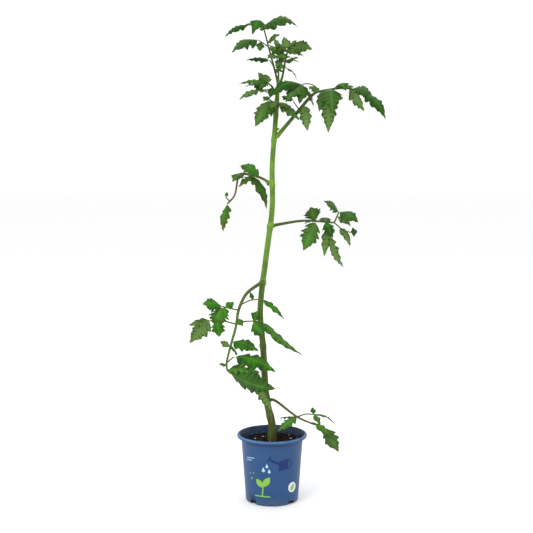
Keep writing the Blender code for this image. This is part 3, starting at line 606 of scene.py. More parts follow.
def add_tube(draft, points, radii, sides, finish, ribs=0.0, **values):
    """A closed round tube through points, with rounded ends and, if asked, ribs down its length."""
    side = square_to(points[1] - points[0])
    rings = []
    for index, (point, radius) in enumerate(zip(points, radii)):
        ahead = points[min(index + 1, len(points) - 1)] - points[max(index - 1, 0)]
        ahead.normalize()
        side = (side - ahead * side.dot(ahead)).normalized()
        up = ahead.cross(side)
        ring = []
        for step in range(sides):
            angle = math.tau * step / sides
            bump = 1 + ribs * math.cos(5 * angle + 0.004 * point.z) + 0.5 * ribs * math.cos(11 * angle)
            out = side * math.cos(angle) + up * math.sin(angle)
            ring.append(draft.add(point + out * radius * bump, along=index / len(points), **values))
        rings.append(ring)
    for low, high in zip(rings, rings[1:]):
        for step in range(sides):
            after = (step + 1) % sides
            draft.face((low[step], low[after], high[after], high[step]), finish)
    for end, before, along in ((0, 1, 0.0), (-1, -2, 1.0)):
        out = (points[end] - points[before]).normalized()
        cap = draft.add(points[end] + out * radii[end] * 0.6, along=along, **values)
        for step in range(sides):
            corners = [rings[end][step], rings[end][(step + 1) % sides]]
            draft.face((cap, *(corners if end else corners[::-1])), finish)


# ---------- leaves

def blade_fullness(share):
    """Half width of a leaflet along its length: round at the base, drawn out to the tip."""
    full = max(math.sin(math.pi * min(max(share, 0.0), 1.0) ** WIDEST_SKEW), 0.0) ** EDGE_ROUNDNESS
    return full * (1 - TIP_DRAW * max(0.0, (share - 0.5) / 0.5) ** 1.5)


def edge_share(phase, t, seed):
    """How much of the full width a lobed edge keeps. The phase grows by one for every lobe."""
    within = phase % 1.0
    rise = within / LOBE_CREST
    if within >= LOBE_CREST:
        rise = 1 - ((within - LOBE_CREST) / (1 - LOBE_CREST)) ** 1.6
    lobe = math.sin(0.5 * math.pi * max(rise, 0.0)) ** 1.2
    notch = NOTCH_AT_BASE + (NOTCH_AT_TIP - NOTCH_AT_BASE) * min(1.3 * t, 1.0)
    notch += drift(seed + math.floor(phase) * 0.37, NOTCH_DRIFT)
    tooth = TOOTH * max(0.0, math.sin(math.tau * (within * 2.0 + 0.15))) * math.sin(math.pi * within)
    return min(notch + (1 - notch) * lobe + tooth, FULLEST_EDGE)


def add_leaflet(draft, base, reach, width, arch, face, lobes, seed, tone, dry, olive):
    """A lobed, toothed leaflet, cupped and puckered between its veins, with a raised rib."""
    length = reach.length
    ahead = reach.normalized()
    upper = Vector(face)
    upper = (upper - ahead * upper.dot(ahead)).normalized()
    side = ahead.cross(upper)
    rows = ROWS_PER_LOBE * lobes + ROWS_AT_TIP
    lobe_step = 1 / (lobes + TIP_LOBE)
    twist = drift(seed, LEAFLET_TWIST)

    def rib_point(t):
        """A place on the rib, which bows towards the upper side."""
        return base + reach * t + upper * arch * length * 4 * t * (1 - t)

    def surface(t, hand, s):
        """A place on the upper side: t along the leaflet, s from the rib to one of its edges."""
        phase = t / lobe_step + LOBE_SHIFT * hand
        half = 0.5 * width * blade_fullness(t) * edge_share(phase, t, seed + 0.13 * hand)
        half = max(half, TIP_HALF_WIDTH)
        across = side * math.cos(twist * t) + upper * math.sin(twist * t)
        out = half * s
        pucker = VEIN_PUCKER * abs(math.sin(math.pi * 2 * phase)) * math.sin(math.pi * min(s * 1.1, 1.0))
        wave = EDGE_WAVE * s * s * math.sin(math.tau * (1.5 * phase + 0.3 * seed))
        fall = (FOLD + CUP * s) * out + RIB_GROOVE * math.exp(-(s / 0.1) ** 2)
        rise = (pucker + wave - fall) * min(half / FULL_RELIEF, 1.0)
        lean = ahead * FORWARD_LEAN * out * (1 - t)
        return rib_point(t) + across * hand * out + lean + upper * rise

    grid = {}
    for row in range(rows + 1):
        t = BLADE_START + (1 - BLADE_START) * row / rows
        for column in range(-BLADE_COLUMNS, BLADE_COLUMNS + 1):
            hand = -1 if column < 0 else 1
            s = abs(column) / BLADE_COLUMNS
            vein = 2 * (t / lobe_step + LOBE_SHIFT * hand)
            place = surface(t, hand, s)
            kept = {"across": hand * s, "along": t, "vein": vein, "tone": tone, "dry": dry}
            top = low = draft.add(place, under=olive, **kept)
            if abs(column) != BLADE_COLUMNS and row not in (0, rows):
                low = draft.add(place - upper * BLADE_THICKNESS, under=1.0, **kept)
            grid[row, column] = (top, low)
    for row in range(rows):
        for column in range(-BLADE_COLUMNS, BLADE_COLUMNS):
            corners = [grid[row, column], grid[row, column + 1], grid[row + 1, column + 1],
                       grid[row + 1, column]]
            cells = [corners]
            # A corner of the blade is cut towards its inside, so its two sides don't touch
            if row in (0, rows - 1) and column in (-BLADE_COLUMNS, BLADE_COLUMNS - 1):
                first = 0 if (row == 0) == (column < 0) else 1
                a, b, c, d = corners[first:] + corners[:first]
                cells = [[a, b, c], [a, c, d]]
            for cell in cells:
                draft.face([corner[0] for corner in cell], BLADE_FINISH)
                draft.face([corner[1] for corner in cell[::-1]], BLADE_FINISH)
    sunk = upper * (BLADE_THICKNESS * 0.5 + RIB_SINK)
    steps = range(RIB_STEPS + 1)
    ribs = [rib_point(i * RIB_REACH / RIB_STEPS) - sunk * min(1.0, i / 2) for i in steps]
    thick = [RIB_RADIUS * (1 - RIB_TAPER * i / RIB_STEPS) for i in steps]
    add_tube(draft, ribs, thick, RIB_SIDES, RIB_FINISH, tone=tone, dry=dry)


def make_leaf(name, stalks, leaflets, finishes):
    """One leaf: its stalks as smooth tubes and its leaflets as fine blades."""
    draft = Draft()
    tone, dry, olive = LEAF_TONES[name]
    routes = {}
    for stalk, (parent, where, legs, radii) in stalks.items():
        on_stem = parent == "stem"
        start = stem_centre(where) if on_stem else point_on(routes[parent], where)
        routes[stalk] = legs_route(start, legs)
        count = max(5, round(sum(length for _, _, length in legs) / STALK_STEP) + 1)
        line = smooth_path(routes[stalk], count)
        first = 0
        while on_stem and deep_in_stem(line[first], STALK_SUNK):
            first += 1
        taper = []
        for i in range(count):
            foot = FOOT_SWELLING * math.exp(-(i - first) / FOOT_STEPS) if on_stem else 0.0
            taper.append((radii[0] + (radii[1] - radii[0]) * i / (count - 1)) * STALK_FULLNESS + foot)
        add_tube(draft, line[first:], taper[first:], STALK_SIDES, STALK_FINISH, tone=tone, dry=dry)
    for index, leaflet in enumerate(leaflets):
        stalk, where, heading, climb, length, width, lobes, *given = leaflet
        arch, face = (*given, *USUAL_BLADE[len(given):])
        seed = index + 17 * len(name)
        # A leaflet that faces down to the front is darkened as painted shade
        shade = tone + drift(seed + 0.5, SHADE_DRIFT) + (HANGING_PAINTED_SHADE if face == FRONT_DOWN else 0.0)
        paleness = min(max(olive + drift(seed + 0.8, OLIVE_DRIFT), 0.0), 1.0)
        add_leaflet(draft, point_on(routes[stalk], where), leg(heading, climb, length), width, arch,
                    face, lobes, seed, shade, dry, paleness)
    piece = draft.build(name + "_foliage", finishes)
    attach(piece, "root")
    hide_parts(name)


# ---------- stem

def make_stem(finish):
    """The main stem with ribs down its length, swollen joints, leaf scars and a side bud."""
    draft = Draft()
    line = smooth_path(STEM_LINE, STEM_POINTS * STEM_FINE_STEPS)
    add_tube(draft, line, [stem_radius(point.z) for point in line], STEM_SIDES, 0, ribs=STEM_RIBS)
    for height, heading, length in STEM_STUBS:
        out = Vector(around(1.0, math.radians(heading), STUB_RISE)).normalized()
        steps = [stem_centre(height) + out * length * share for share, _ in STUB_SHAPE]
        add_tube(draft, steps, [radius for _, radius in STUB_SHAPE], STALK_SIDES, 0)
    piece = draft.build("stem_skin", [finish])
    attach(piece, "root")
    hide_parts("stem")
    return piece


# ---------- pot

def wall_outside(height):
    """Outer radius of the pot's wall at a height under the lip."""
    share = height / (POT_HEIGHT - LIP_HEIGHT)
    return BASE_RADIUS + share * (WALL_TOP_RADIUS - BASE_RADIUS)


def arc(centre, radius, start, end, count):
    """Points along an arc of a profile, with its angles in degrees."""
    points = []
    for i in range(count):
        angle = math.radians(start + (end - start) * i / (count - 1))
        points.append((centre[0] + radius * math.cos(angle), centre[1] + radius * math.sin(angle)))
    return points


def turned(name, profile, steps):
    """A solid turned from a profile that starts and ends on the axis."""
    bm = bmesh.new()
    rings = []
    for radius, height in profile:
        if radius == 0:
            rings.append([bm.verts.new((0, 0, height * MM))] * steps)
        else:
            rings.append([bm.verts.new(around(radius * MM, math.tau * step / steps, height * MM))
                          for step in range(steps)])
    join_rings(bm, rings)
    return new_piece(name, finished_mesh(name, bm))


def notch_cutter(angle, width, height):
    """A block with rounded upper corners that cuts one notch in the pot's foot."""
    bm = bmesh.new()
    bmesh.ops.create_cube(bm, size=1.0)
    bmesh.ops.scale(bm, vec=(NOTCH_DEPTH * 2, width, height * 2), verts=bm.verts)
    upper = []
    for edge in bm.edges:
        one, other = (vertex.co for vertex in edge.verts)
        if abs(one.z - other.z) < 0.1 and abs(one.y - other.y) < 0.1 and one.z > 0:
            upper.append(edge)
    bmesh.ops.bevel(bm, geom=upper, offset=NOTCH_ROUND * height, segments=4, affect="EDGES", profile=0.5)
    bmesh.ops.scale(bm, vec=(MM, MM, MM), verts=bm.verts)
    notch = bpy.data.objects.new("notch", finished_mesh("notch", bm))
    notch.location = around(BASE_RADIUS * MM, angle)
    notch.rotation_euler = (0, 0, angle)
    return notch


def make_pot(finish):
    """The cup with its rolled lip and the notches round its foot."""
    top = POT_HEIGHT
    under = top - LIP_HEIGHT
    inside = RIM_RADIUS - LIP_OVERHANG
    profile = [(0.0, FLOOR), (BASE_RADIUS - WALL - 1.2, FLOOR), (BASE_RADIUS - WALL, FLOOR + 1.4)]
    profile += [(WALL_TOP_RADIUS - WALL, top - 8.0), (inside - 0.6, top - 3.4)]
    profile += arc((inside + LIP_ROLL, top - LIP_ROLL), LIP_ROLL, 180, 90, 7)
    profile += arc((RIM_RADIUS - LIP_ROLL, top - LIP_ROLL - 0.4), LIP_ROLL, 90, 0, 7)
    profile += arc((RIM_RADIUS - LIP_EDGE, under + LIP_EDGE), LIP_EDGE, 0, -90, 5)
    profile += [(inside + 0.6, under), (WALL_TOP_RADIUS + 0.4, under - 1.2),
                (WALL_TOP_RADIUS - 0.1, under - 3.0)]
    profile += [(wall_outside(under * share), under * share) for share in WALL_SHARES]
    profile += [(BASE_RADIUS + 0.3, 4.0)]
    profile += arc((BASE_RADIUS - FOOT_ROUND, FOOT_ROUND), FOOT_ROUND, 0, -90, 6) + [(0.0, 0.0)]
    pot = turned("pot_shell", profile, POT_STEPS)
    cutters = bpy.data.collections.new("notches")
    bpy.context.scene.collection.children.link(cutters)
    for index in range(NOTCH_COUNT):
        width, height = NOTCH_SIZES[index % 2]
        cutters.objects.link(notch_cutter(math.tau * index / NOTCH_COUNT, width, height))
    boolean = pot.modifiers.new("notches", "BOOLEAN")
    boolean.operation = "DIFFERENCE"
    boolean.operand_type = "COLLECTION"
    boolean.collection = cutters
    apply_modifiers(pot)
    for notch in list(cutters.objects):
        bpy.data.objects.remove(notch, do_unlink=True)
    bpy.data.collections.remove(cutters)
    bm = bmesh.new()
    bm.from_mesh(pot.data)
    bmesh.ops.dissolve_degenerate(bm, dist=0.01 * MM, edges=bm.edges)
    bm.to_mesh(pot.data)
    bm.free()
    # Inside faces, marked for the painted shade that the pot's finish lays inside
    inner = [0.0] * len(pot.data.vertices)
    for polygon in pot.data.polygons:
        if polygon.normal.dot(Vector((polygon.center.x, polygon.center.y, 0))) < 0:
            for corner in polygon.vertices:
                inner[corner] = 1.0
    pot.data.attributes.new("inner", "FLOAT", "POINT").data.foreach_set("value", inner)
    pot.data.materials.clear()
    pot.data.materials.append(finish)
    smooth(pot.data, POT_CREASE)
    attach(pot, "root")
    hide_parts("pot")


# ---------- print on the pot

def on_wall(along, height, proud):
    """A place on the pot's wall, measured along it from the middle of its front."""
    radius = wall_outside(height)
    return Vector(around(radius + proud, along / radius - math.pi / 2, height)) * MM


def printed(name, finish, outlines, proud):
    """Thin flat shapes laid round the pot's wall, each from an outline in wall measures."""
    bm = bmesh.new()
    for outline in outlines:
        bm.faces.new([bm.verts.new((x, z, 0)) for x, z in outline])
    bm.normal_update()
    bmesh.ops.triangulate(bm, faces=bm.faces)
    for step in range(-PRINT_REACH, PRINT_REACH, PRINT_CUT):
        bmesh.ops.bisect_plane(bm, geom=bm.verts[:] + bm.edges[:] + bm.faces[:],
                               plane_co=(step + PRINT_CUT_SHIFT, 0, 0), plane_no=(1, 0, 0))
    bmesh.ops.dissolve_degenerate(bm, dist=PRINT_SLIVER, edges=bm.edges)
    for vertex in bm.verts:
        vertex.co = on_wall(vertex.co.x, vertex.co.y, proud)
    for face in bm.faces:
        face.normal_update()
        if face.normal.dot(face.calc_center_median()) < 0:
            face.normal_flip()
    piece = new_piece(name, finished_mesh(name, bm))
    ink = piece.modifiers.new("ink", "SOLIDIFY")
    ink.thickness = proud * 0.8 * MM
    ink.offset = -1.0
    apply_modifiers(piece)
    piece.data.materials.append(finish)
    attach(piece, "root")


def outline_at(centre, places):
    """An outline moved to a centre."""
    return [(centre[0] + x, centre[1] + y) for x, y in places]


def disc(centre, radius, count=40):
    """Outline of a circle."""
    return outline_at(centre, [around(radius, math.tau * i / count)[:2] for i in range(count)])


def petal(centre, length, width, heading, count=24):
    """Outline of a leaf or petal shape that grows from a point."""
    turn = math.radians(heading)
    places = []
    for i in range(count):
        share = i / (count / 2)
        hand, t = (1, share) if share <= 1 else (-1, 2 - share)
        x = length * t
        y = hand * width / 2 * math.sin(math.pi * t) ** 0.8 if 0 < t < 1 else 0.0
        places.append((x * math.cos(turn) - y * math.sin(turn), x * math.sin(turn) + y * math.cos(turn)))
    return outline_at(centre, places)


def drop(centre, radius, count=28):
    """Outline of a raindrop with its point upwards."""
    places = []
    for i in range(count):
        angle = math.tau * i / count - math.pi / 2
        upwards = max(0.0, math.sin(angle))
        places.append((radius * (1.0 - 0.6 * upwards ** 2) * math.cos(angle),
                       radius * (1.0 + 1.1 * upwards ** 3) * math.sin(angle)))
    return outline_at(centre, places)


def band(centre, radius, width, start, end, count=20):
    """Outline of a bent strip, with its angles in degrees."""
    outer = arc(centre, radius + width / 2, start, end, count)
    return outer + arc(centre, radius - width / 2, end, start, count)


def make_print(lime, pale, navy, white):
    """A plain sprout that is watered from a can, a leaf on a blank disc, lines and dots."""
    stalk = [(-18, 18), (-15.6, 18), (-14.6, 36), (-16.6, 36)]
    ground = [(-32, 16), (-2, 16), (-4, 18), (-30, 18)]
    body = [(11, 62), (29, 65), (28, 82), (12, 79)]
    spout = [(13, 76), (12, 72), (-4, 80), (-2, 83)]
    rose = [(-7, 78), (-1, 86), (-3, 88), (-9, 80)]
    long_line = [(-50, 80), (-32, 82), (-32, 83.2), (-50, 81.2)]
    short_line = [(-50, 76), (-38, 77.4), (-38, 78.6), (-50, 77.2)]
    seed_leaves = petal((-16, 34), 21, 11, 55), petal((-15, 33), 19, 10, 135)
    dots = disc((-38, 46), 1.6, 20), disc((-42, 54), 1.2, 20), disc((-34, 56), 1.2, 20)
    rain = drop((-9, 70), 2.4), drop((-15, 63), 2.8), drop((-5, 61), 2.4)
    for name, ink, outlines, layer in (
        ("print_sprout", lime, (stalk, *seed_leaves, ground), 1),
        ("print_can", navy, (body, spout, rose), 1),
        ("print_can_handle", navy, (band((27, 73), 8, 2.0, -75, 75),), 1),
        ("print_rain", pale, rain, 1),
        ("print_disc", white, (disc((38, 30), 9),), 1),
        ("print_disc_leaf", lime, (petal((34, 24), 14, 7, 55),), 2),
        ("print_dots", lime, dots, 1),
        ("print_lines", pale, (long_line, short_line), 1),
    ):
        printed(name, ink, outlines, layer * PRINT_PROUD)


# ---------- soil

def make_soil(finish):
    """Compost that fills the pot, with a lumpy top and a hole for the stem."""
    bm = bmesh.new()

    def ring(radius, height, lumpy):
        """One ring of vertices, level or following the lumps."""
        row = []
        for step in range(SOIL_STEPS):
            x, y, z = around(radius, math.tau * step / SOIL_STEPS, height)
            if lumpy:
                z += sum(rise * noise(Vector((x, y, layer)) * fineness)
                         for rise, layer, fineness in SOIL_LUMPS)
            row.append(bm.verts.new(Vector((x, y, z)) * MM))
        return row

    hole = STEM_RADII[0][1] + SOIL_GAP
    foot = BASE_RADIUS - WALL - SOIL_GAP - 1.0
    wide = wall_outside(SOIL_LEVEL) - WALL - SOIL_GAP - hole
    rings = [ring(hole + wide * i / SOIL_RINGS, SOIL_LEVEL, True) for i in range(SOIL_RINGS + 1)]
    rings += [ring(radius, FLOOR + SOIL_GAP, False) for radius in (foot, hole)]
    join_rings(bm, rings + rings[:1])
    mesh = finished_mesh("soil_bed", bm)
    mesh.materials.append(finish)
    mesh.shade_smooth()
    piece = new_piece("soil_bed", mesh)
    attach(piece, "root")
    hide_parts("soil")
    return piece


# ---------- things that repeat

def add_node(tree, kind, values=None, **settings):
    """A node with its properties set, and with fixed values at some of its inputs."""
    made = tree.nodes.new(kind)
    for name, setting in settings.items():
        setattr(made, name, setting)
    for name, value in (values or {}).items():
        made.inputs[name].default_value = value
    return made


def add_sockets(tree, direction, kinds):
    """Name the sockets of a tree, each with its kind."""
    for label, kind in kinds.items():
        tree.interface.new_socket(label, in_out=direction, socket_type="NodeSocket" + kind)


def wire(tree, links):
    """Link nodes, each link from an output of one to an input of another."""
    for start, output, end, into in links:
        tree.links.new(start.outputs[output], end.inputs[into])


def scatter_tree(name, make_shape):
    """A tree that scatters a small shape over the upward or outward faces of a mesh."""
    tree = bpy.data.node_groups.new(name, "GeometryNodeTree")
    add_sockets(tree, "INPUT", {"Geometry": "Geometry", "Density": "Float", "Smallest": "Float",
                                "Largest": "Float", "Flatness": "Float", "Lowest Facing": "Float",
                                "Seed": "Int", "Finish": "Material"})
    add_sockets(tree, "OUTPUT", {"Geometry": "Geometry"})
    source = add_node(tree, "NodeGroupInput")
    normal = add_node(tree, "GeometryNodeInputNormal")
    split = add_node(tree, "ShaderNodeSeparateXYZ")
    facing = add_node(tree, "FunctionNodeCompare", operation="GREATER_THAN")
    spread = add_node(tree, "GeometryNodeDistributePointsOnFaces")
    size = add_node(tree, "FunctionNodeRandomValue", data_type="FLOAT")
    flat = add_node(tree, "ShaderNodeCombineXYZ")
    multiply = add_node(tree, "ShaderNodeMath", operation="MULTIPLY")
    turn = add_node(tree, "FunctionNodeRandomValue", data_type="FLOAT_VECTOR",
                    values={0: (-0.5, -0.5, 0.0), 1: (0.5, 0.5, math.tau)})
    place = add_node(tree, "GeometryNodeInstanceOnPoints")
    tone = add_node(tree, "FunctionNodeRandomValue", data_type="FLOAT", values={2: 0.0, 3: 1.0})
    store = add_node(tree, "GeometryNodeStoreNamedAttribute", data_type="FLOAT", domain="INSTANCE",
                     values={"Name": "tone"})
    real = add_node(tree, "GeometryNodeRealizeInstances")
    dress = add_node(tree, "GeometryNodeSetMaterial")
    sink = add_node(tree, "NodeGroupOutput")
    shape, along_normal = make_shape(tree)
    rotation = (spread, "Rotation") if along_normal else (turn, 0)
    wire(tree, [
        (normal, 0, split, 0), (split, "Z", facing, "A"), (source, "Lowest Facing", facing, "B"),
        (source, "Geometry", spread, "Mesh"), (facing, "Result", spread, "Selection"),
        (source, "Density", spread, "Density"), (source, "Seed", spread, "Seed"),
        (source, "Smallest", size, 2), (source, "Largest", size, 3), (source, "Seed", size, "Seed"),
        (size, 1, multiply, 0), (source, "Flatness", multiply, 1),
        (size, 1, flat, "X"), (size, 1, flat, "Y"), (multiply, 0, flat, "Z"),
        (spread, "Points", place, "Points"), (shape, 0, place, "Instance"),
        (flat, 0, place, "Scale"), (*rotation, place, "Rotation"),
        (place, 0, store, "Geometry"), (tone, 1, store, "Value"), (store, 0, real, 0),
        (real, 0, dress, "Geometry"), (source, "Finish", dress, "Material"), (dress, 0, sink, 0),
    ])
    return tree


def crumb_shape(tree):
    """A lumpy little ball."""
    ball = add_node(tree, "GeometryNodeMeshIcoSphere", {"Radius": 0.5, "Subdivisions": 2})
    lumps = add_node(tree, "ShaderNodeTexNoise", {"Scale": 2.3})
    centred = add_node(tree, "ShaderNodeVectorMath", {1: (0.5, 0.5, 0.5)}, operation="SUBTRACT")
    scaled = add_node(tree, "ShaderNodeVectorMath", {"Scale": 0.5}, operation="SCALE")
    shift = add_node(tree, "GeometryNodeSetPosition")
    wire(tree, [(lumps, "Color", centred, 0), (centred, 0, scaled, 0),
                (ball, 0, shift, "Geometry"), (scaled, 0, shift, "Offset")])
    return shift, False


def hair_shape(tree):
    """A thin three-sided hair that stands on the surface."""
    sizes = {"Vertices": 3, "Radius Top": 0.0, "Radius Bottom": 0.045, "Depth": 1.0}
    return add_node(tree, "GeometryNodeMeshCone", sizes, fill_type="NGON"), True


def scattered(name, bed, tree, amounts, facing, finish, reach=None):
    """Scatter shapes over a copy of a bed mesh, within a reach of its axis, and keep only them."""
    piece = new_piece(name, bed.data.copy())
    if reach:
        bm = bmesh.new()
        bm.from_mesh(piece.data)
        outside = [face for face in bm.faces if face.calc_center_median().xy.length > reach * MM]
        bmesh.ops.delete(bm, geom=outside, context="FACES")
        bm.to_mesh(piece.data)
        bm.free()
    density, small, large, flatness, seed = amounts
    inputs = {"Density": density, "Smallest": small * MM, "Largest": large * MM,
              "Flatness": flatness, "Lowest Facing": facing, "Seed": seed, "Finish": finish}
    modifier = piece.modifiers.new("scatter", "NODES")
    modifier.node_group = tree
    for socket in tree.interface.items_tree:
        if socket.in_out == "INPUT" and socket.name in inputs:
            modifier[socket.identifier] = inputs[socket.name]
    apply_modifiers(piece)
    piece.data.shade_smooth()
    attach(piece, "root")


# ---------- sums and colours in a shader

class Value:
    """A number in a shader. Sums on it are written as usual, and each makes a Math node."""

    def __init__(self, socket):
        self.socket = socket

    def __add__(self, other):
        return maths("ADD", self, other)

    def __radd__(self, other):
        return maths("ADD", other, self)

    def __sub__(self, other):
        return maths("SUBTRACT", self, other)

    def __rsub__(self, other):
        return maths("SUBTRACT", other, self)

    def __mul__(self, other):
        return maths("MULTIPLY", self, other)

    def __truediv__(self, other):
        return maths("DIVIDE", self, other)

    def __pow__(self, other):
        return maths("POWER", self, other)

    def __abs__(self):
        return maths("ABSOLUTE", self)


def feed(socket, value):
    """Give an input a value, a colour or what another socket puts out."""
    if isinstance(value, Value):
        value = value.socket
    if isinstance(value, bpy.types.NodeSocket):
        socket.id_data.links.new(value, socket)
    elif isinstance(value, tuple):
        socket.default_value = (*value, 1.0)
    else:
        socket.default_value = value


def maths(operation, *terms):
    """One sum on values and fixed numbers."""
    tree = next(term.socket.id_data for term in terms if isinstance(term, Value))
    made = add_node(tree, "ShaderNodeMath", operation=operation)
    for socket, term in zip(made.inputs, terms):
        feed(socket, term)
    return Value(made.outputs[0])


def clamped(value):
    """A fresh sum, held between 0 and 1."""
    value.socket.node.use_clamp = True
    return value


def blend(factor, first, second):
    """Mix two colours. Each is a socket or a fixed colour."""
    made = add_node(factor.socket.id_data, "ShaderNodeMix", data_type="RGBA")
    for index, value in ((0, factor), (6, first), (7, second)):
        feed(made.inputs[index], value)
    return made.outputs[2]


def ramp(value, stops):
    """The colour that a value has on a ramp with places and colours."""
    made = add_node(value.socket.id_data, "ShaderNodeValToRGB")
    band_stops = made.color_ramp.elements
    while len(band_stops) < len(stops):
        band_stops.new(0.5)
    for stop, (place, colour) in zip(band_stops, stops):
        stop.position = place
        stop.color = (*colour, 1.0)
    feed(made.inputs[0], value)
    return made.outputs[0]


def darker(colour, share):
    """A colour dimmed to a share of itself."""
    return tuple(c * share for c in colour)


def mottle_group():
    """Soft blotches and fine grain, for everything that grows and for moulded plastic."""
    group = bpy.data.node_groups.new("mottle", "ShaderNodeTree")
    add_sockets(group, "INPUT", {"Blotch Scale": "Float", "Grain Scale": "Float"})
    add_sockets(group, "OUTPUT", {"Blotch": "Float", "Grain": "Float"})
    source = add_node(group, "NodeGroupInput")
    sink = add_node(group, "NodeGroupOutput")
    place = add_node(group, "ShaderNodeTexCoord")
    for index in range(2):
        cloud = add_node(group, "ShaderNodeTexNoise", {"Detail": 4.0})
        wire(group, [(place, "Object", cloud, "Vector"), (source, index, cloud, "Scale"),
                     (cloud, "Fac", sink, index)])
    return group


MOTTLE = mottle_group()


# ---------- materials

class Finish:
    """A Principled material, with what its looks are worked out from."""

    def __init__(self, name, roughness, shine=0.5):
        self.material = bpy.data.materials.new(name)
        self.material.use_nodes = True
        self.tree = self.material.node_tree
        self.shader = self.tree.nodes["Principled BSDF"]
        self.take("Roughness", roughness)
        self.take("Specular IOR Level", shine)

    def take(self, name, value):
        """Feed one of the shader's inputs."""
        feed(self.shader.inputs[name], value)

    def bump(self, height, strength, distance):
        """Feed a height to the shader's normal."""
        made = add_node(self.tree, "ShaderNodeBump", {"Strength": strength, "Distance": distance})
        feed(made.inputs["Height"], height)
        self.take("Normal", made.outputs[0])

    def kept(self, name):
        """A value kept at each vertex of a piece."""
        return Value(add_node(self.tree, "ShaderNodeAttribute", attribute_name=name).outputs["Fac"])

    def place(self):
        """The place on the piece, and its measures to the right, away and up."""
        place = add_node(self.tree, "ShaderNodeTexCoord").outputs["Object"]
        split = add_node(self.tree, "ShaderNodeSeparateXYZ")
        feed(split.inputs[0], place)
        return place, *(Value(socket) for socket in split.outputs)

    def mottle(self, blotch, grain):
        """Soft blotches and fine grain, with their own scales."""
        scales = {"Blotch Scale": blotch, "Grain Scale": grain}
        made = add_node(self.tree, "ShaderNodeGroup", scales, node_tree=MOTTLE)
        return Value(made.outputs["Blotch"]), Value(made.outputs["Grain"])


def blade_finish():
    """Leaf blade: darker when young, paler below, with light veins, painted shade in the hollows along
    them, and dry tips.
    """
    finish = Finish("leaf_blade", 0.5, 0.1)
    blotch, grain = finish.mottle(55.0, 700.0)
    upper = ramp(finish.kept("tone") + (blotch - 0.5) * 3.6, BLADE_GREENS)
    base = blend(finish.kept("under"), upper, blend(blotch, UNDERSIDE_DARK, UNDERSIDE_PALE))
    across = abs(finish.kept("across"))
    swing = maths("PINGPONG", finish.kept("vein"), 0.5)
    midrib = clamped(1.0 - across / 0.1)
    side_veins = clamped(1.0 - swing / 0.09) * (0.8 - across * 0.6)
    veins = maths("MAXIMUM", midrib, side_veins)
    base = blend(veins * 0.42, base, VEIN_GREEN)
    # Painted shade in the hollows along the side veins, deeper towards the edge
    base = blend(clamped((0.5 - swing) * across * 2.2), base, VALLEY_PAINTED_SHADE)
    edge = maths("MAXIMUM", finish.kept("along") ** 5.0, across ** 6.0)
    dried = clamped(edge * finish.kept("dry") * (grain * 1.6))
    finish.take("Base Color", blend(dried, base, DRIED_EDGE))
    finish.take("Roughness", 0.5 + grain * 0.15)
    finish.bump(grain * 0.35 - veins, 0.25, 0.0003)
    return finish.material


def growth_finish(name, stops, streak, shade, foot_stops=None, joints=()):
    """Stem or stalk: coloured by height, with streaks, dried stretches and paler joints."""
    finish = Finish(name, 0.5, 0.15)
    place, _, _, height = finish.place()
    blotch, grain = finish.mottle(45.0, 1400.0)
    level = height / PLANT_HEIGHT + (blotch - 0.5) * 0.12
    base = ramp(level, stops)
    if foot_stops:
        near = clamped(1.0 - finish.kept("along") / 0.12)
        base = blend(near, base, ramp(level, foot_stops))
    for joint, swelling in joints:
        near = clamped(1.0 - abs(height - (joint + 4) * MM) / (6 * MM))
        base = blend(clamped(near * (0.4 * swelling)), base, JOINT_GREEN)
    stretch = add_node(finish.tree, "ShaderNodeMapping", {"Scale": (700.0, 700.0, 25.0)})
    feed(stretch.inputs["Vector"], place)
    cloud = add_node(finish.tree, "ShaderNodeTexNoise", {"Scale": 1.0})
    feed(cloud.inputs["Vector"], stretch.outputs[0])
    streaks = Value(cloud.outputs["Fac"])
    base = blend(clamped((streaks - 0.42) * 2.4) * 0.7, base, streak)
    base = blend(clamped((blotch - 0.47) * 7.0) * 0.4, base, shade)
    dry_stretch = clamped((0.24 - abs(finish.kept("along") - 0.68)) * 12.0)
    dried = clamped(dry_stretch * finish.kept("dry") * 2.2 - 0.5)
    finish.take("Base Color", blend(dried, base, DRIED_STALK))
    finish.bump(grain + streaks, 0.25, 0.0003)
    return finish.material


def plastic_finish(name, colour, roughness, wear):
    """Moulded plastic with a faint haze, scuffs and fine grain."""
    finish = Finish(name, roughness, 0.25)
    blotch, grain = finish.mottle(22.0, 1800.0)
    paler = tuple(min(1.0, c * 1.7 + 0.015) for c in colour)
    finish.take("Base Color", blend(blotch * wear, colour, paler))
    finish.take("Roughness", roughness - 0.08 + blotch * 0.16)
    finish.bump(grain, 0.12, 0.0002)
    return finish


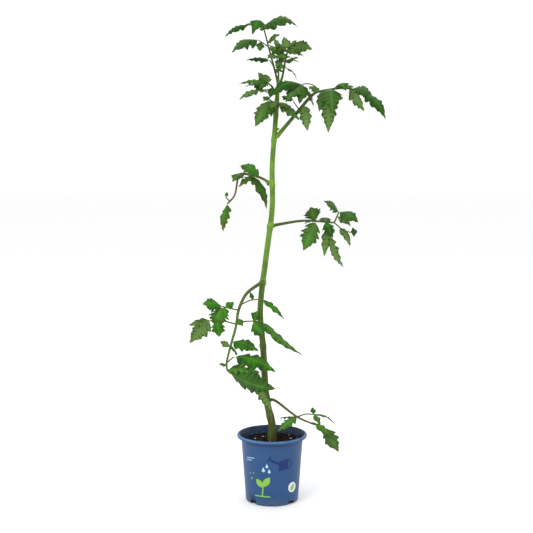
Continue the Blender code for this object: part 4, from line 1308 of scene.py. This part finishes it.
def pot_finish(colour):
    """The pot's plastic: dusty at its foot, with painted highlight along its lip and painted shade under
    it and inside.
    """
    finish = plastic_finish("pot_plastic", colour, 0.42, 0.35)
    base = finish.shader.inputs["Base Color"].links[0].from_socket
    _, right, away, up = finish.place()
    height = up / MM
    radius = maths("SQRT", right * right + away * away) / MM
    blotch, _ = finish.mottle(70.0, 500.0)
    dust = clamped(clamped(1.0 - height / 14.0) * blotch * 0.5)
    base = blend(dust, base, POT_DUST)
    # Painted highlight: a patchy pale blue along the top of the lip
    edge = clamped((radius - (RIM_RADIUS - 3.0)) * 0.5)
    crest = clamped((height - (POT_HEIGHT - 3.5)) * 0.6)
    base = blend(edge * crest * blotch, base, POT_LIP_HIGHLIGHT)
    # Painted shade: a dark band on the outer wall just under the lip
    shade = clamped((height - (POT_HEIGHT - 12.0)) / 6.0)
    wall = clamped(RIM_RADIUS - 4.5 - radius)
    base = blend(shade * wall * 0.75, base, darker(colour, 0.25))
    # Painted shade over the inside faces, left out in patches
    patchy = clamped((blotch - 0.46) * 5.0)
    base = blend(finish.kept("inner") * (1.0 - patchy * 0.9), base, darker(colour, 0.3))
    finish.take("Base Color", base)
    return finish.material


def grain_finish(name, first, second):
    """A loose grain whose colour changes from one to the next."""
    finish = Finish(name, 0.95, 0.1)
    blotch, grain = finish.mottle(300.0, 2500.0)
    base = blend(finish.kept("tone"), first, second)
    finish.take("Base Color", blend(grain * 0.5, base, darker(first, 0.4)))
    finish.bump(blotch + grain, 0.6, 0.0008)
    return finish.material


# ---------- floor, light and camera

def make_stage():
    """A pale floor, soft studio light and the camera."""
    finish = Finish("studio_floor", 0.9)
    finish.take("Base Color", FLOOR_COLOUR)
    bpy.ops.mesh.primitive_plane_add(size=FLOOR_SIZE)
    floor = bpy.context.object
    floor.name = "studio_floor"
    floor.location.z = -FLOOR_DROP
    floor.data.materials.append(finish.material)
    scene = bpy.context.scene
    scene.world = bpy.data.worlds.new("studio")
    scene.world.use_nodes = True
    sky = scene.world.node_tree.nodes["Background"].inputs
    sky["Color"].default_value = (1, 1, 1, 1)
    sky["Strength"].default_value = SKY_STRENGTH
    for name, place, size, power in LIGHTS:
        light = bpy.data.lights.new(name, "AREA")
        light.size = size
        light.energy = power
        lamp = new_piece(name, light)
        lamp.location = place
        aim = Vector(LIGHT_TARGET) - Vector(place)
        lamp.rotation_euler = aim.to_track_quat("-Z", "Y").to_euler()
    camera = bpy.data.cameras.new("camera")
    camera.sensor_width = SENSOR_WIDTH
    camera.lens = LENS
    scene.camera = new_piece("camera", camera)
    scene.camera.location = CAMERA_PLACE
    scene.camera.rotation_euler = (math.radians(90 - CAMERA_PITCH), 0, 0)
    scene.view_settings.view_transform = "Standard"


# ---------- the whole plant

def main():
    """Make the finishes, then every piece, then the studio."""
    blue = pot_finish(POT_BLUE)
    inks = [plastic_finish(name, colour, 0.5, wear).material for name, colour, wear in PRINT_INKS]
    earths = {name: grain_finish(name, *colours) for name, colours in SOIL_COLOURS.items()}
    joints = [joint for joint in STEM_JOINTS if joint[0] > LOWEST_PALE_JOINT]
    skin = growth_finish("stem_skin", STEM_COLOURS, STEM_STREAK, STEM_SHADE, joints=joints)
    stalk = growth_finish("stalk_skin", STALK_COLOURS, STALK_STREAK, STALK_SHADE, STEM_COLOURS)
    blade = blade_finish()
    make_pot(blue)
    make_print(*inks)
    bed = make_soil(earths["compost"])
    stem = make_stem(skin)
    for name, parts in LEAVES.items():
        make_leaf(name, *parts, [stalk, blade, stalk])
    crumb_tree = scatter_tree("scatter_crumbs", crumb_shape)
    reach = wall_outside(SOIL_LEVEL) - WALL - GRAIN_MARGIN
    for name, finish, *amounts in SOIL_GRAINS:
        scattered(name, bed, crumb_tree, amounts, GRAIN_FACING, earths[finish], reach)
    hair_tree = scatter_tree("scatter_hairs", hair_shape)
    down = plastic_finish("plant_hair", HAIR_GREEN, 0.6, 0.1).material
    scattered("stem_hairs", stem, hair_tree, STEM_HAIRS, HAIR_FACING, down)
    make_stage()


main()
